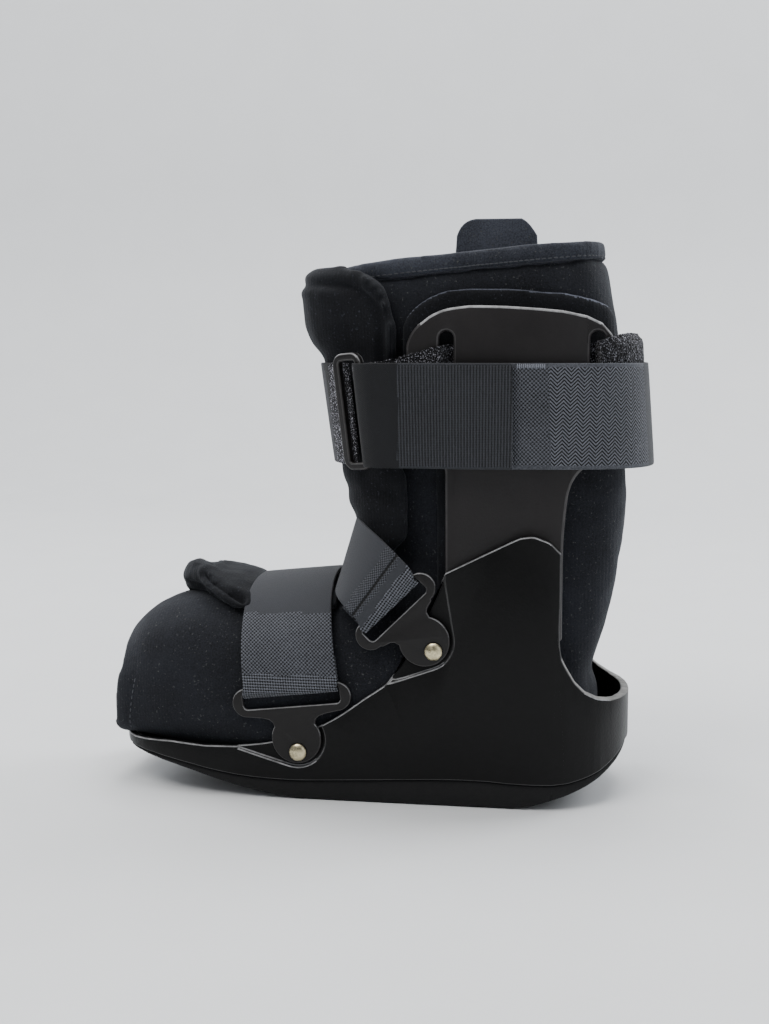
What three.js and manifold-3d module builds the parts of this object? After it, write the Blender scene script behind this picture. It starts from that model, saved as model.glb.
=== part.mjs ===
// A short orthopaedic walking boot: a rocker sole and moulded foot shell, two
// uprights, a padded liner with a shin pad and a toe flap, and four closing straps.
// Millimetres, +Z up, toe towards -X, the side with the calf ring towards -Y.
// The origin lies on the sole's flat underside.
import * as THREE from 'three';
import Module from 'manifold-3d';
import { mergeVertices } from 'three/addons/utils/BufferGeometryUtils.js';

const wasm = await Module();
wasm.setup();

// Driving dimensions
const gap = 0.3;
const soleLength = 262;
const toeToOrigin = 135;
const shellWidth = 101;
const shieldHeight = 136;
const toeRise = 20;
const seamHeight = 14;
const shellWall = 4;
const shellFloor = 2.2;
const outsoleInset = 1.2;
const flarePerMm = 0.0008;

const calfCentre = 52;
const calfHalfWidth = shellWidth / 2 - shellWall - gap;
const calfDepth = 160;
const linerHeight = 276;
const linerWall = 5;
const linerSetIn = 9.9;
const collarHeight = 9;
const collarSwell = 1.4;
const collarSlope = 0.09;
const footTop = 102;
const footHalfWidth = calfHalfWidth - gap;

const strutWall = 3.2;
const strutTop = 245;
const strutFoot = 84;
const padFoot = 106;
const strutFront = 37.5;
const strutWaist = 56.5;
const wingFront = 18.5;
const wingSpan = 99;
const wingDrop = 66;
const wingCorner = 9;
const slotWidth = 7;
const slotFromWing = 16;
const slotSpacing = 71;
const slotBelowTop = 12;
const slotTop = strutTop - slotBelowTop;
const padWall = 3.8;
const padRise = 8.3;
const padBeside = 5;

const webbing = 2;
const calfStrapWidth = 50;
const calfStrapLow = 168;
const tailEnd = 70;
const fleeceWall = 2.2;
const fleeceInside = 1.6;
const fleeceLow = 176;
const fleeceHigh = 227;
const fleeceEnd = 2;
const fleeceDrop = 9;
const shinPadWall = 8;
const shinPadTop = linerHeight - collarHeight;

const ringLength = 58;
const ringWidth = 24;
const ringBar = 4.2;
const ringThickness = 3.2;
const ringCorner = 4;
const ringX = -8;

const forefootStrapWidth = 48;
const forefootNarrowing = 0.88;
const ankleStrapWidth = 37;
const ankleReach = 30.5;
const foldRadius = 2.6;
const foldBack = 14;
const plateThickness = 2.2;
const plateBar = 14.8;
const plateSlot = 8.4;
const slotRaise = 0.8;
const slotSpare = 1.5;
const barSpare = 5.5;
const plateReach = 26.75;
const plateBoss = 12.5;
const bossReach = 20.1;
const neckTurn = 36;
const pocketDepth = 2.4;
const pocketMargin = 2;
const rivetHead = 8.8;
const rivetDome = 2.2;
const rivetShank = 4;

const flapWall = 6;
const flapRollFront = 7.5;
const flapRollEnd = 3;
const tabWidth = 43;
const tabTop = 294;
const tabHeight = 36;
const tabFoot = tabTop - tabHeight;
const tabWall = 3.4;
const tabCorner = 9;
const tabCentre = 53.5;

// Tables: every length is a share of the named size in its heading
// along and low: shares of soleLength and toeRise; seam: share of seamHeight
const SOLE_ROWS = [
  { along: 0.000, low: 1.00, seam: 1.50 },
  { along: 0.053, low: 0.90, seam: 1.42 },
  { along: 0.141, low: 0.66, seam: 1.16 },
  { along: 0.210, low: 0.42, seam: 0.92 },
  { along: 0.276, low: 0.21, seam: 0.76 },
  { along: 0.350, low: 0.05, seam: 0.70 },
  { along: 0.400, low: 0.00, seam: 0.71 },
  { along: 0.550, low: 0.00, seam: 0.86 },
  { along: 0.700, low: 0.00, seam: 0.98 },
  { along: 0.790, low: 0.00, seam: 0.91 },
  { along: 0.874, low: 0.30, seam: 0.92 },
  { along: 0.927, low: 0.56, seam: 1.12 },
  { along: 0.958, low: 0.79, seam: 1.36 },
  { along: 0.985, low: 1.08, seam: 1.76 },
  { along: 1.000, low: 1.34, seam: 2.10 },
];
// The shell's plan: along is a share of soleLength, half of half its width
const PLAN_ROWS = [
  { along: 0.000, half: 0.00 },
  { along: 0.002, half: 0.28 },
  { along: 0.014, half: 0.54 },
  { along: 0.045, half: 0.75 },
  { along: 0.100, half: 0.885 },
  { along: 0.175, half: 0.960 },
  { along: 0.290, half: 1.000 },
  { along: 0.440, half: 0.998 },
  { along: 0.600, half: 0.998 },
  { along: 0.745, half: 0.998 },
  { along: 0.820, half: 0.998 },
  { along: 0.866, half: 0.975 },
  { along: 0.905, half: 0.895 },
  { along: 0.943, half: 0.755 },
  { along: 0.977, half: 0.520 },
  { along: 0.995, half: 0.260 },
  { along: 1.000, half: 0.00 },
];
// The shell's top edge seen from the side: shares of soleLength and shieldHeight
const RIM_ROWS = [
  { along: 0.000, up: 0.184 },
  { along: 0.060, up: 0.190 },
  { along: 0.125, up: 0.196 },
  { along: 0.195, up: 0.189 },
  { along: 0.268, up: 0.195 },
  { along: 0.322, up: 0.209 },
  { along: 0.375, up: 0.238 },
  { along: 0.420, up: 0.280 },
  { along: 0.460, up: 0.324 },
  { along: 0.506, up: 0.390 },
  { along: 0.548, up: 0.446 },
  { along: 0.584, up: 0.537 },
  { along: 0.611, up: 0.647 },
  { along: 0.641, up: 0.765 },
  { along: 0.657, up: 0.845 },
  { along: 0.661, up: 0.862 },
  { along: 0.796, up: 0.993 },
  { along: 0.822, up: 1.000 },
  { along: 0.852, up: 0.978 },
  { along: 0.872, up: 0.937 },
  { along: 0.872, up: 0.760 },
  { along: 0.870, up: 0.640 },
  { along: 0.873, up: 0.570 },
  { along: 0.883, up: 0.527 },
  { along: 0.899, up: 0.471 },
  { along: 0.916, up: 0.434 },
  { along: 0.940, up: 0.404 },
  { along: 0.965, up: 0.388 },
  { along: 1.010, up: 0.376 },
];
// The calf's outline at each height: shares of linerHeight and calfDepth, measured
// from the calf's centre, with the half width as a share of calfHalfWidth
const CALF_ROWS = [
  { up: 0.12, front: 0.270, back: 0.335, half: 0.93 },
  { up: 0.21, front: 0.300, back: 0.395, half: 0.96 },
  { up: 0.31, front: 0.340, back: 0.448, half: 1.00 },
  { up: 0.44, front: 0.372, back: 0.490, half: 1.00 },
  { up: 0.54, front: 0.418, back: 0.506, half: 1.00 },
  { up: 0.60, front: 0.442, back: 0.505, half: 1.00 },
  { up: 0.65, front: 0.458, back: 0.493, half: 1.00 },
  { up: 0.70, front: 0.469, back: 0.482, half: 1.00 },
  { up: 0.78, front: 0.487, back: 0.480, half: 1.00 },
  { up: 0.85, front: 0.503, back: 0.472, half: 1.00 },
  { up: 0.92, front: 0.512, back: 0.447, half: 0.99 },
  { up: 1.00, front: 0.510, back: 0.422, half: 0.98 },
  { up: 1.08, front: 0.500, back: 0.400, half: 0.97 },
];
// The foot's cross-sections: along is a share of soleLength, half of footHalfWidth
// and top of footTop
const FOOT_ROWS = [
  { along: -0.060, half: 0.64, top: 0.54 },
  { along: -0.036, half: 0.70, top: 0.62 },
  { along: -0.005, half: 0.78, top: 0.735 },
  { along: 0.054, half: 0.88, top: 0.840 },
  { along: 0.107, half: 0.935, top: 0.915 },
  { along: 0.153, half: 0.965, top: 0.955 },
  { along: 0.240, half: 0.995, top: 0.975 },
  { along: 0.330, half: 1.000, top: 0.985 },
  { along: 0.420, half: 1.000, top: 1.000 },
  { along: 0.500, half: 0.995, top: 1.020 },
  { along: 0.620, half: 0.980, top: 1.020 },
  { along: 0.750, half: 0.950, top: 0.930 },
  { along: 0.850, half: 0.860, top: 0.800 },
  { along: 0.910, half: 0.690, top: 0.660 },
  { along: 0.935, half: 0.450, top: 0.520 },
];
// The slanted front edge of the toe: shares of soleLength ahead of the sole's tip,
// and of footTop
const TOE_EDGE_ROWS = [
  { ahead: 0.037, up: 0.10 },
  { ahead: 0.035, up: 0.20 },
  { ahead: 0.026, up: 0.42 },
  { ahead: 0.014, up: 0.56 },
  { ahead: 0.000, up: 0.68 },
  { ahead: -0.012, up: 0.80 },
  { ahead: -0.020, up: 0.95 },
];
// The shin pad's free edges: height as a share of shinPadTop; edge, how far its
// near and far edges lie ahead of the calf's centre, as a share of calfDepth;
// swell, how far it bulges past the strap's level, as a share of shinPadWall
const SHIN_ROWS = [
  { up: 0.453, edge: 0.270, swell: 0.20 },
  { up: 0.490, edge: 0.205, swell: 0.28 },
  { up: 0.560, edge: 0.195, swell: 0.31 },
  { up: 0.610, edge: 0.202, swell: 0.31 },
  { up: 0.660, edge: 0.240, swell: 0.31 },
  { up: 0.825, edge: 0.244, swell: 0.31 },
  { up: 0.850, edge: 0.243, swell: 0.80 },
  { up: 0.890, edge: 0.241, swell: 1.02 },
  { up: 0.930, edge: 0.262, swell: 1.12 },
  { up: 0.960, edge: 0.290, swell: 1.05 },
  { up: 0.982, edge: 0.340, swell: 0.80 },
  { up: 0.996, edge: 0.400, swell: 0.35 },
];
// The upright's arched top: out is a share of half wingSpan, down of wingDrop
const ARCH_ROWS = [
  { out: -1.000, down: 0.280 },
  { out: -0.960, down: 0.205 },
  { out: -0.900, down: 0.148 },
  { out: -0.760, down: 0.068 },
  { out: -0.624, down: 0.022 },
  { out: -0.396, down: 0.000 },
  { out: -0.055, down: 0.004 },
  { out: 0.283, down: 0.022 },
  { out: 0.505, down: 0.038 },
  { out: 0.727, down: 0.074 },
  { out: 0.869, down: 0.124 },
  { out: 0.965, down: 0.205 },
  { out: 1.000, down: 0.290 },
];
// The toe flap: along is a share of soleLength, reach the share of a half turn
// from the far side over the foot to the flap's free edge, and puff how much thicker
// it is on top, as a share of flapWall
const FLAP_ROWS = [
  { along: 0.112, reach: 0.430, puff: 0.55 },
  { along: 0.140, reach: 0.520, puff: 0.85 },
  { along: 0.180, reach: 0.610, puff: 0.90 },
  { along: 0.225, reach: 0.690, puff: 0.65 },
  { along: 0.262, reach: 0.735, puff: 0.12 },
  { along: 0.330, reach: 0.740, puff: 0.00 },
  { along: 0.400, reach: 0.740, puff: 0.00 },
  { along: 0.450, reach: 0.740, puff: 0.00 },
];
// The ankle strap's line from above its slot over the instep: ahead of the slot
// and above it as shares of ankleReach, side as a share of half shellWidth
const ANKLE_ROWS = [
  { ahead: 0.14, up: 0.15, side: 1.000 },
  { ahead: 0.36, up: 0.37, side: 0.985 },
  { ahead: 0.60, up: 0.56, side: 0.880 },
  { ahead: 0.82, up: 0.67, side: 0.660 },
  { ahead: 0.96, up: 0.72, side: 0.340 },
  { ahead: 1.00, up: 0.73, side: 0.000 },
];
// The two kinds of strap plate: its bar's middle as shares of soleLength from the
// toe and of shieldHeight, its turn in degrees, and the two points of the shell's
// top edge where its pocket starts and ends
const PLATES = [
  { name: 'forefoot', along: 0.368, up: 0.379, turn: 6.6, slot: forefootStrapWidth + slotSpare,
    behind: [0.422, 0.30], ahead: [0.262, 0.186] },
  { name: 'ankle', along: 0.568, up: 0.718, turn: 44.6, slot: ankleStrapWidth + slotSpare,
    behind: [0.656, 0.875], ahead: [0.546, 0.446] },
];

// Numbers and curves
const lengthAt = (share) => share * soleLength - toeToOrigin;
const vec = (x, y, z) => new THREE.Vector3(x, y, z);

// A smooth value read from a table at one place
function read(rows, key, at, column) {
  const last = rows.length - 1;
  const x = THREE.MathUtils.clamp(at, rows[0][key], rows[last][key]);
  let i = 0;
  while (i < last - 1 && x > rows[i + 1][key]) i += 1;
  const [a, b] = [rows[i], rows[i + 1]];
  const [before, after] = [rows[Math.max(i - 1, 0)], rows[Math.min(i + 2, last)]];
  const step = b[key] - a[key];
  const t = (x - a[key]) / step;
  const slope = (p, q) => ((q[column] - p[column]) / (q[key] - p[key])) * step;
  const [m0, m1] = [slope(before, b), slope(a, after)];
  const t2 = t * t;
  const t3 = t2 * t;
  return (2 * t3 - 3 * t2 + 1) * a[column] + (t3 - 2 * t2 + t) * m0
    + (3 * t2 - 2 * t3) * b[column] + (t3 - t2) * m1;
}

const power = (value, exponent) => Math.sign(value) * Math.abs(value) ** exponent;

// Solids
function closed(positions, index) {
  const geometry = new THREE.BufferGeometry();
  geometry.setAttribute('position', new THREE.Float32BufferAttribute(positions, 3));
  geometry.setIndex(index);
  let volume = 0;
  const [a, b, c] = [vec(), vec(), vec()];
  const at = geometry.attributes.position;
  for (let i = 0; i < index.length; i += 3) {
    a.fromBufferAttribute(at, index[i]);
    b.fromBufferAttribute(at, index[i + 1]);
    c.fromBufferAttribute(at, index[i + 2]);
    volume += a.dot(b.cross(c));
  }
  if (volume < 0) {
    for (let i = 0; i < index.length; i += 3) [index[i], index[i + 1]] = [index[i + 1], index[i]];
    geometry.setIndex(index);
  }
  return geometry;
}

// A solid through rings of points that have the same count, capped at both ends
function loft(rings) {
  const count = rings[0].length;
  const positions = rings.flat().flatMap((p) => [p.x, p.y, p.z]);
  const index = [];
  for (let r = 0; r + 1 < rings.length; r += 1) {
    for (let i = 0; i < count; i += 1) {
      const j = (i + 1) % count;
      const [a, b] = [r * count + i, r * count + j];
      const [c, d] = [a + count, b + count];
      index.push(a, b, d, a, d, c);
    }
  }
  const cap = (ring, base, flip) => {
    const normal = vec(0, 0, 0);
    ring.forEach((p, i) => normal.add(p.clone().cross(ring[(i + 1) % count])));
    const drop = ['x', 'y', 'z'].reduce((m, k) => (Math.abs(normal[k]) > Math.abs(normal[m]) ? k : m));
    const [u, v] = { x: ['y', 'z'], y: ['z', 'x'], z: ['x', 'y'] }[drop];
    const flat = ring.map((p) => new THREE.Vector2(p[u], p[v]));
    const sense = THREE.ShapeUtils.isClockWise(flat) ? -1 : 1;
    THREE.ShapeUtils.triangulateShape(flat, []).forEach(([a, b, c]) => {
      const ahead = THREE.ShapeUtils.area([flat[a], flat[b], flat[c]]) * sense > 0;
      const turned = ahead === flip;
      index.push(base + a, base + (turned ? c : b), base + (turned ? b : c));
    });
  };
  cap(rings[0], 0, true);
  cap(rings[rings.length - 1], (rings.length - 1) * count, false);
  return closed(positions, index);
}

// A strap or plate swept through stations: each has its middle, the direction across
// its width, the direction out of its face, a width and a thickness
function sweep(stations) {
  return loft(stations.map(({ at, across, out, width, thickness }) => {
    const [w, t] = [across.clone().multiplyScalar(width / 2), out.clone().multiplyScalar(thickness / 2)];
    return [
      at.clone().add(w).add(t), at.clone().sub(w).add(t),
      at.clone().sub(w).sub(t), at.clone().add(w).sub(t),
    ];
  }));
}

function solid(geometry) {
  const bare = geometry.clone();
  bare.deleteAttribute('normal');
  bare.deleteAttribute('uv');
  const merged = mergeVertices(bare, 1e-4);
  return new wasm.Manifold(new wasm.Mesh({
    numProp: 3,
    vertProperties: new Float32Array(merged.attributes.position.array),
    triVerts: new Uint32Array(merged.index.array),
  }));
}

function geometryOf(body) {
  const mesh = body.getMesh();
  const geometry = new THREE.BufferGeometry();
  geometry.setAttribute('position', new THREE.BufferAttribute(new Float32Array(mesh.vertProperties), 3));
  geometry.setIndex(Array.from(mesh.triVerts));
  return geometry;
}

// An outline in the X-Z plane given a thickness along Y, between two values
function sideways(points, from, to) {
  const shape = points instanceof THREE.Shape ? points : new THREE.Shape(points);
  const geometry = new THREE.ExtrudeGeometry(shape, {
    depth: to - from, bevelEnabled: false, steps: 1, curveSegments: 6,
  });
  geometry.rotateX(Math.PI / 2);
  geometry.translate(0, to, 0);
  return geometry;
}

// An outline in plan given a height
function upward(points, from, to) {
  const geometry = new THREE.ExtrudeGeometry(new THREE.Shape(points), {
    depth: to - from, bevelEnabled: false, steps: 1,
  });
  geometry.translate(0, 0, from);
  return geometry;
}

// Widens what stands higher, so that the boot's sides lean out from the sole up
function flare(geometry) {
  const at = geometry.attributes.position;
  for (let i = 0; i < at.count; i += 1) {
    at.setY(i, at.getY(i) * (1 + flarePerMm * Math.max(at.getZ(i), 0)));
  }
  return geometry;
}

const mirrored = (geometry) => {
  const copy = geometry.clone();
  copy.scale(1, -1, 1);
  const order = Array.from(copy.index ? copy.index.array : copy.attributes.position.array.keys());
  const index = copy.index ? order : Array.from({ length: copy.attributes.position.count }, (_, i) => i);
  for (let i = 0; i < index.length; i += 3) [index[i], index[i + 1]] = [index[i + 1], index[i]];
  copy.setIndex(index);
  return copy;
};

// Plan outline of the shell, moved in by a distance
function planOutline(inset) {
  const side = PLAN_ROWS.map(({ along, half }) => new THREE.Vector2(lengthAt(along), (half * shellWidth) / 2));
  const curve = new THREE.SplineCurve([...side, ...side.slice(1, -1).reverse().map((p) => vec2(p.x, -p.y)), side[0]]);
  const points = curve.getPoints(56).slice(0, -1);
  return points.map((p, i) => {
    const ahead = points[(i + 1) % points.length];
    const behind = points[(i + points.length - 1) % points.length];
    const along = ahead.clone().sub(behind).normalize();
    return vec2(p.x + along.y * inset, p.y - along.x * inset);
  });
}

function vec2(x, y) {
  return new THREE.Vector2(x, y);
}

const soleCurve = (column, size, lift) => new THREE.SplineCurve(
  SOLE_ROWS.map((row) => vec2(lengthAt(row.along), row[column] * size + lift)),
).getPoints(30).map((p) => vec2(p.x, Math.max(p.y, column === 'low' ? 0 : p.y)));

const rimLine = (lift) => RIM_ROWS.map(({ along, up }) => vec2(lengthAt(along), up * shieldHeight + lift));

// Rubber outsole with its rocker
function outsole() {
  const beyond = 5;
  const low = soleCurve('low', toeRise, 0);
  const seam = soleCurve('seam', seamHeight, 0).reverse();
  low[0].x -= beyond;
  low[low.length - 1].x += beyond;
  seam[0].x += beyond;
  seam[seam.length - 1].x -= beyond;
  const profile = solid(sideways([...low, ...seam], -shellWidth, shellWidth));
  const plan = solid(upward(planOutline(outsoleInset), -1, shieldHeight));
  return geometryOf(plan.intersect(profile));
}

// Outlines of the pockets in the shell's sides, round each plate's rivet
function plateFrame({ along, up, turn }) {
  const angle = THREE.MathUtils.degToRad(turn);
  return {
    middle: vec2(lengthAt(along), up * shieldHeight),
    u: vec2(Math.cos(angle), Math.sin(angle)),
    v: vec2(Math.sin(angle), -Math.cos(angle)),
    angle,
  };
}

function rivetAt(plate) {
  const { middle, v } = plateFrame(plate);
  return middle.clone().addScaledVector(v, plateReach);
}

function pocket(plate) {
  const { middle, v } = plateFrame(plate);
  const boss = middle.clone().addScaledVector(v, bossReach);
  const radius = plateBoss + pocketMargin;
  const at = ([along, up]) => vec2(lengthAt(along), up * shieldHeight);
  const [ahead, behind] = [at(plate.ahead), at(plate.behind)];
  const toward = (p) => Math.atan2(p.y - boss.y, p.x - boss.x);
  const reach = (p) => Math.acos(Math.min(1, radius / p.distanceTo(boss)));
  const from = toward(ahead) + reach(ahead);
  let to = toward(behind) - reach(behind);
  while (to < from) to += 2 * Math.PI;
  const arc = between(from, to, 14).map((a) => (
    vec2(boss.x + radius * Math.cos(a), boss.y + radius * Math.sin(a))
  ));
  const lifted = (p) => p.clone().addScaledVector(v, -plateReach);
  return [ahead, ...arc, behind, lifted(behind), lifted(ahead)];
}

// The shell's solid, grown by a clearance when it cuts its neighbours
function shellBody(grow) {
  const low = soleCurve('seam', seamHeight, gap - grow);
  const floor = soleCurve('seam', seamHeight, gap + shellFloor + grow);
  const rim = rimLine(grow).reverse();
  const stretch = (line, by) => {
    line[0].x -= by;
    line[line.length - 1].x += by;
    return line;
  };
  const top = vec2(lengthAt(1.1), shieldHeight * 2);
  const lead = vec2(lengthAt(-0.1), shieldHeight * 2);
  rim[0].x = lengthAt(1) + 10;
  rim[rim.length - 1].x = lengthAt(0) - 10;
  const outer = solid(sideways([...stretch(low, 8), ...rim], -shellWidth, shellWidth));
  const inner = solid(sideways([...stretch(floor, 10), top, lead], -shellWidth, shellWidth));
  const skin = solid(upward(planOutline(-grow), -1, shieldHeight * 1.5));
  const room = solid(upward(planOutline(shellWall + grow), -1, shieldHeight * 1.5));
  return skin.intersect(outer).subtract(room.intersect(inner));
}

function footShell() {
  let body = shellBody(0);
  const face = shellWidth / 2 - pocketDepth;
  PLATES.forEach((plate) => {
    const outline = pocket(plate);
    body = body.subtract(solid(sideways(outline, -shellWidth, -face)));
    body = body.subtract(solid(sideways(outline, face, shellWidth)));
  });
  return geometryOf(body);
}

// The calf: a rounded outline at each height, in layers set in or out from it
function calfPoint(angle, offset, z) {
  const up = z / linerHeight;
  const [c, s] = [Math.cos(angle), Math.sin(angle)];
  const back = read(CALF_ROWS, 'up', up, 'back') * calfDepth + offset;
  const front = read(CALF_ROWS, 'up', up, 'front') * calfDepth + offset;
  const half = read(CALF_ROWS, 'up', up, 'half') * calfHalfWidth + offset;
  const roundness = c > 0 ? 2 / 3.3 : 2 / 2.7;
  return vec(
    calfCentre + (c > 0 ? back : front) * power(c, roundness),
    half * power(s, roundness),
    z,
  );
}

// The angle of the calf's outline at a place along X, on the near side
function angleAt(x, offset, z) {
  let [low, high] = [-Math.PI, 0];
  for (let i = 0; i < 40; i += 1) {
    const middle = (low + high) / 2;
    if (calfPoint(middle, offset, z).x < x) low = middle;
    else high = middle;
  }
  return (low + high) / 2;
}

const around = (count, make) => Array.from({ length: count }, (_, i) => make((i / count) * 2 * Math.PI));
const between = (from, to, count) => Array.from({ length: count + 1 }, (_, i) => from + ((to - from) * i) / count);
const calfLoft = (offset, levels, sides = 32) => loft(levels.map((z) => around(sides, (a) => calfPoint(a, offset, z))));

// A wall between two offsets of the calf's outline
function calfWall(inner, outer, levels) {
  const spare = (levels[levels.length - 1] - levels[0]) * 0.02;
  const longer = levels.map((z, i) => z + (i === 0 ? -spare : 0) + (i === levels.length - 1 ? spare : 0));
  return solid(calfLoft(outer, levels)).subtract(solid(calfLoft(inner, longer)));
}

const footLow = (along) => read(SOLE_ROWS, 'along', along, 'seam') * seamHeight + shellFloor + 2 * gap;

function footPoint(along, angle, offset, spread) {
  const half = read(FOOT_ROWS, 'along', along, 'half') * footHalfWidth + offset;
  const top = read(FOOT_ROWS, 'along', along, 'top') * footTop + offset;
  const low = footLow(along) - offset * spread;
  const [middle, rise] = [(top + low) / 2, (top - low) / 2];
  const s = Math.sin(angle);
  return vec(
    lengthAt(along),
    half * power(Math.cos(angle), s > 0 ? 2 / 2.5 : 2 / 4),
    middle + rise * power(s, s > 0 ? 2 / 2.4 : 2 / 4),
  );
}

const footRing = (along, offset) => around(offset < 0 ? 18 : 26, (a) => footPoint(along, a, offset, 0.7));

function footLoft(offset) {
  const rows = FOOT_ROWS.map(({ along }) => footRing(along, offset));
  if (offset === 0) return loft(rows);
  const mouth = rows[0].map((p) => p.clone().add(vec(-linerWall * 4, 0, 0)));
  return loft([mouth, ...rows.slice(0, -1)]);
}

// What lies ahead of the toe's slanted edge
function toeCut() {
  const line = TOE_EDGE_ROWS.map(({ ahead, up }) => vec2(lengthAt(-ahead), up * footTop));
  const curve = new THREE.SplineCurve(line).getPoints(14);
  const far = lengthAt(-0.3);
  const outline = [vec2(far, 0), vec2(curve[0].x, 0), ...curve,
    vec2(curve[curve.length - 1].x, footTop * 1.6), vec2(far, footTop * 1.6)];
  return solid(sideways(outline, -shellWidth, shellWidth));
}

// What lies above the collar's slope at a height
function above(height) {
  const at = (x) => height + collarSlope * (x - calfCentre * 2);
  const [front, back, sky] = [-calfDepth, calfDepth * 2, linerHeight * 2];
  return solid(sideways([vec2(front, at(front)), vec2(back, at(back)), vec2(back, sky), vec2(front, sky)],
    -shellWidth, shellWidth));
}

const seat = linerHeight - collarHeight;
const CALF_LEVELS = [0.12, 0.22, 0.31, 0.38, 0.46, 0.54, 0.62, 0.72, 0.81, 0.89, 0.95, 1.06]
  .map((share) => share * linerHeight);

function linerBody() {
  const outer = solid(calfLoft(-linerSetIn, CALF_LEVELS)).add(solid(footLoft(0)));
  const levels = CALF_LEVELS.filter((_, i) => i % 2 === 1);
  levels[levels.length - 1] += linerWall;
  const inner = solid(calfLoft(-linerSetIn - linerWall, levels, 20)).add(solid(footLoft(-linerWall)));
  return outer.subtract(inner).subtract(toeCut()).subtract(above(seat));
}

function collarBinding() {
  const levels = [seat - collarHeight * 2.4, seat, linerHeight * 1.05];
  const band = calfWall(-linerSetIn - linerWall - collarSwell * 0.4, -linerSetIn + collarSwell, levels);
  return band.intersect(above(seat + gap)).subtract(above(linerHeight));
}

// A tab of doubled cloth that stands up from the liner's far side
function pullTab() {
  const half = tabWidth / 2;
  const inner = calfPoint(Math.PI / 2, -linerSetIn + collarSwell + gap * 1.5, seat).y;
  const shape = new THREE.Shape();
  shape.moveTo(tabCentre - half, tabFoot);
  shape.lineTo(tabCentre - half, tabTop - tabCorner);
  shape.quadraticCurveTo(tabCentre - half, tabTop - 1, tabCentre - half + tabCorner, tabTop);
  shape.lineTo(tabCentre + half - tabCorner * 0.8, tabTop);
  shape.quadraticCurveTo(tabCentre + half - 2, tabTop - 2, tabCentre + half, tabTop - tabCorner);
  shape.lineTo(tabCentre + half, tabFoot);
  return sideways(shape, inner, inner + tabWall);
}

// The shin pad: a curved wall round the front of the calf, thickest at its top
function shinPad() {
  const steps = 14;
  return solid(loft(SHIN_ROWS.map((row) => {
    const z = row.up * shinPadTop;
    const arc = (offset) => {
      const near = angleAt(calfCentre - row.edge * calfDepth, offset, z);
      return between(near, -2 * Math.PI - near, steps);
    };
    const thickness = shinPadWall * (row.up > 0.98 ? 0.45 : 1);
    return [
      ...arc(0).map((a, i) => {
        const fromEdge = Math.min(i, steps - i);
        return calfPoint(a, row.swell * shinPadWall * THREE.MathUtils.smoothstep(fromEdge, 1.5, 4), z);
      }),
      ...arc(-thickness).reverse().map((a) => calfPoint(a, -thickness, z)),
    ];
  })));
}

// The upright's outline from the side, grown by a rise at the top and a margin beside
function uprightOutline(rise, beside, foot) {
  const half = wingSpan / 2;
  const centre = wingFront + half;
  const top = strutTop + rise;
  const arch = ARCH_ROWS.map(({ out, down }) => vec2(centre + out * (half + beside * 0.5), top - down * wingDrop));
  const [front, back] = [wingFront - beside * 0.5, wingFront + wingSpan + beside * 0.5];
  const low = strutTop - wingDrop;
  const [left, right] = [strutFront - beside, strutFront + strutWaist];
  const shape = new THREE.Shape();
  shape.moveTo(left, foot);
  shape.lineTo(left, low - wingCorner * 1.5);
  shape.quadraticCurveTo(left, low - wingCorner, left - wingCorner * 0.5, low - wingCorner);
  shape.lineTo(front + wingCorner, low - wingCorner);
  shape.quadraticCurveTo(front, low - wingCorner, front, low);
  arch.forEach((p) => shape.lineTo(p.x, p.y));
  shape.lineTo(back, low);
  shape.quadraticCurveTo(back, low - wingCorner, back - wingCorner, low - wingCorner);
  shape.quadraticCurveTo(right + 3, low - wingCorner - 2, right + 1.5, low - wingCorner * 3.2);
  shape.lineTo(right, low - wingCorner * 5.2);
  shape.lineTo(right, foot);
  return solid(sideways(shape, -shellWidth, -calfHalfWidth * 0.5));
}

const slotMiddles = () => [wingFront + slotFromWing + slotWidth / 2,
  wingFront + slotFromWing + slotWidth / 2 + slotSpacing];
const WALL_LEVELS = CALF_LEVELS.slice(1);

function strut() {
  let body = calfWall(-strutWall, 0, WALL_LEVELS).intersect(uprightOutline(0, 0, strutFoot));
  slotMiddles().forEach((x) => {
    const hole = new THREE.Shape();
    const [left, right, foot] = [x - slotWidth / 2, x + slotWidth / 2, fleeceLow - gap * 5];
    hole.moveTo(left, foot);
    hole.lineTo(right, foot);
    hole.lineTo(right, slotTop - slotWidth / 2);
    hole.absarc(x, slotTop - slotWidth / 2, slotWidth / 2, 0, Math.PI, false);
    body = body.subtract(solid(sideways(hole, -shellWidth, -1)));
  });
  return geometryOf(body);
}

const behindStrut = strutWall + fleeceInside + 3 * gap;
const strutPad = () => geometryOf(
  calfWall(-behindStrut - padWall, -behindStrut, WALL_LEVELS).intersect(uprightOutline(padRise, padBeside, padFoot)),
);

// A band's station on the calf's outline, at an angle and a distance out
function wallStation(angle, offset, thickness, z, width) {
  const [top, foot] = [calfPoint(angle, offset, z + width / 2), calfPoint(angle, offset, z - width / 2)];
  const at = top.clone().add(foot).multiplyScalar(0.5);
  const along = calfPoint(angle + 0.01, offset, z).sub(calfPoint(angle - 0.01, offset, z)).normalize();
  const across = top.sub(foot).normalize();
  const out = along.clone().cross(across).normalize();
  return { at, along, across, out, width, thickness };
}

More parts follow.
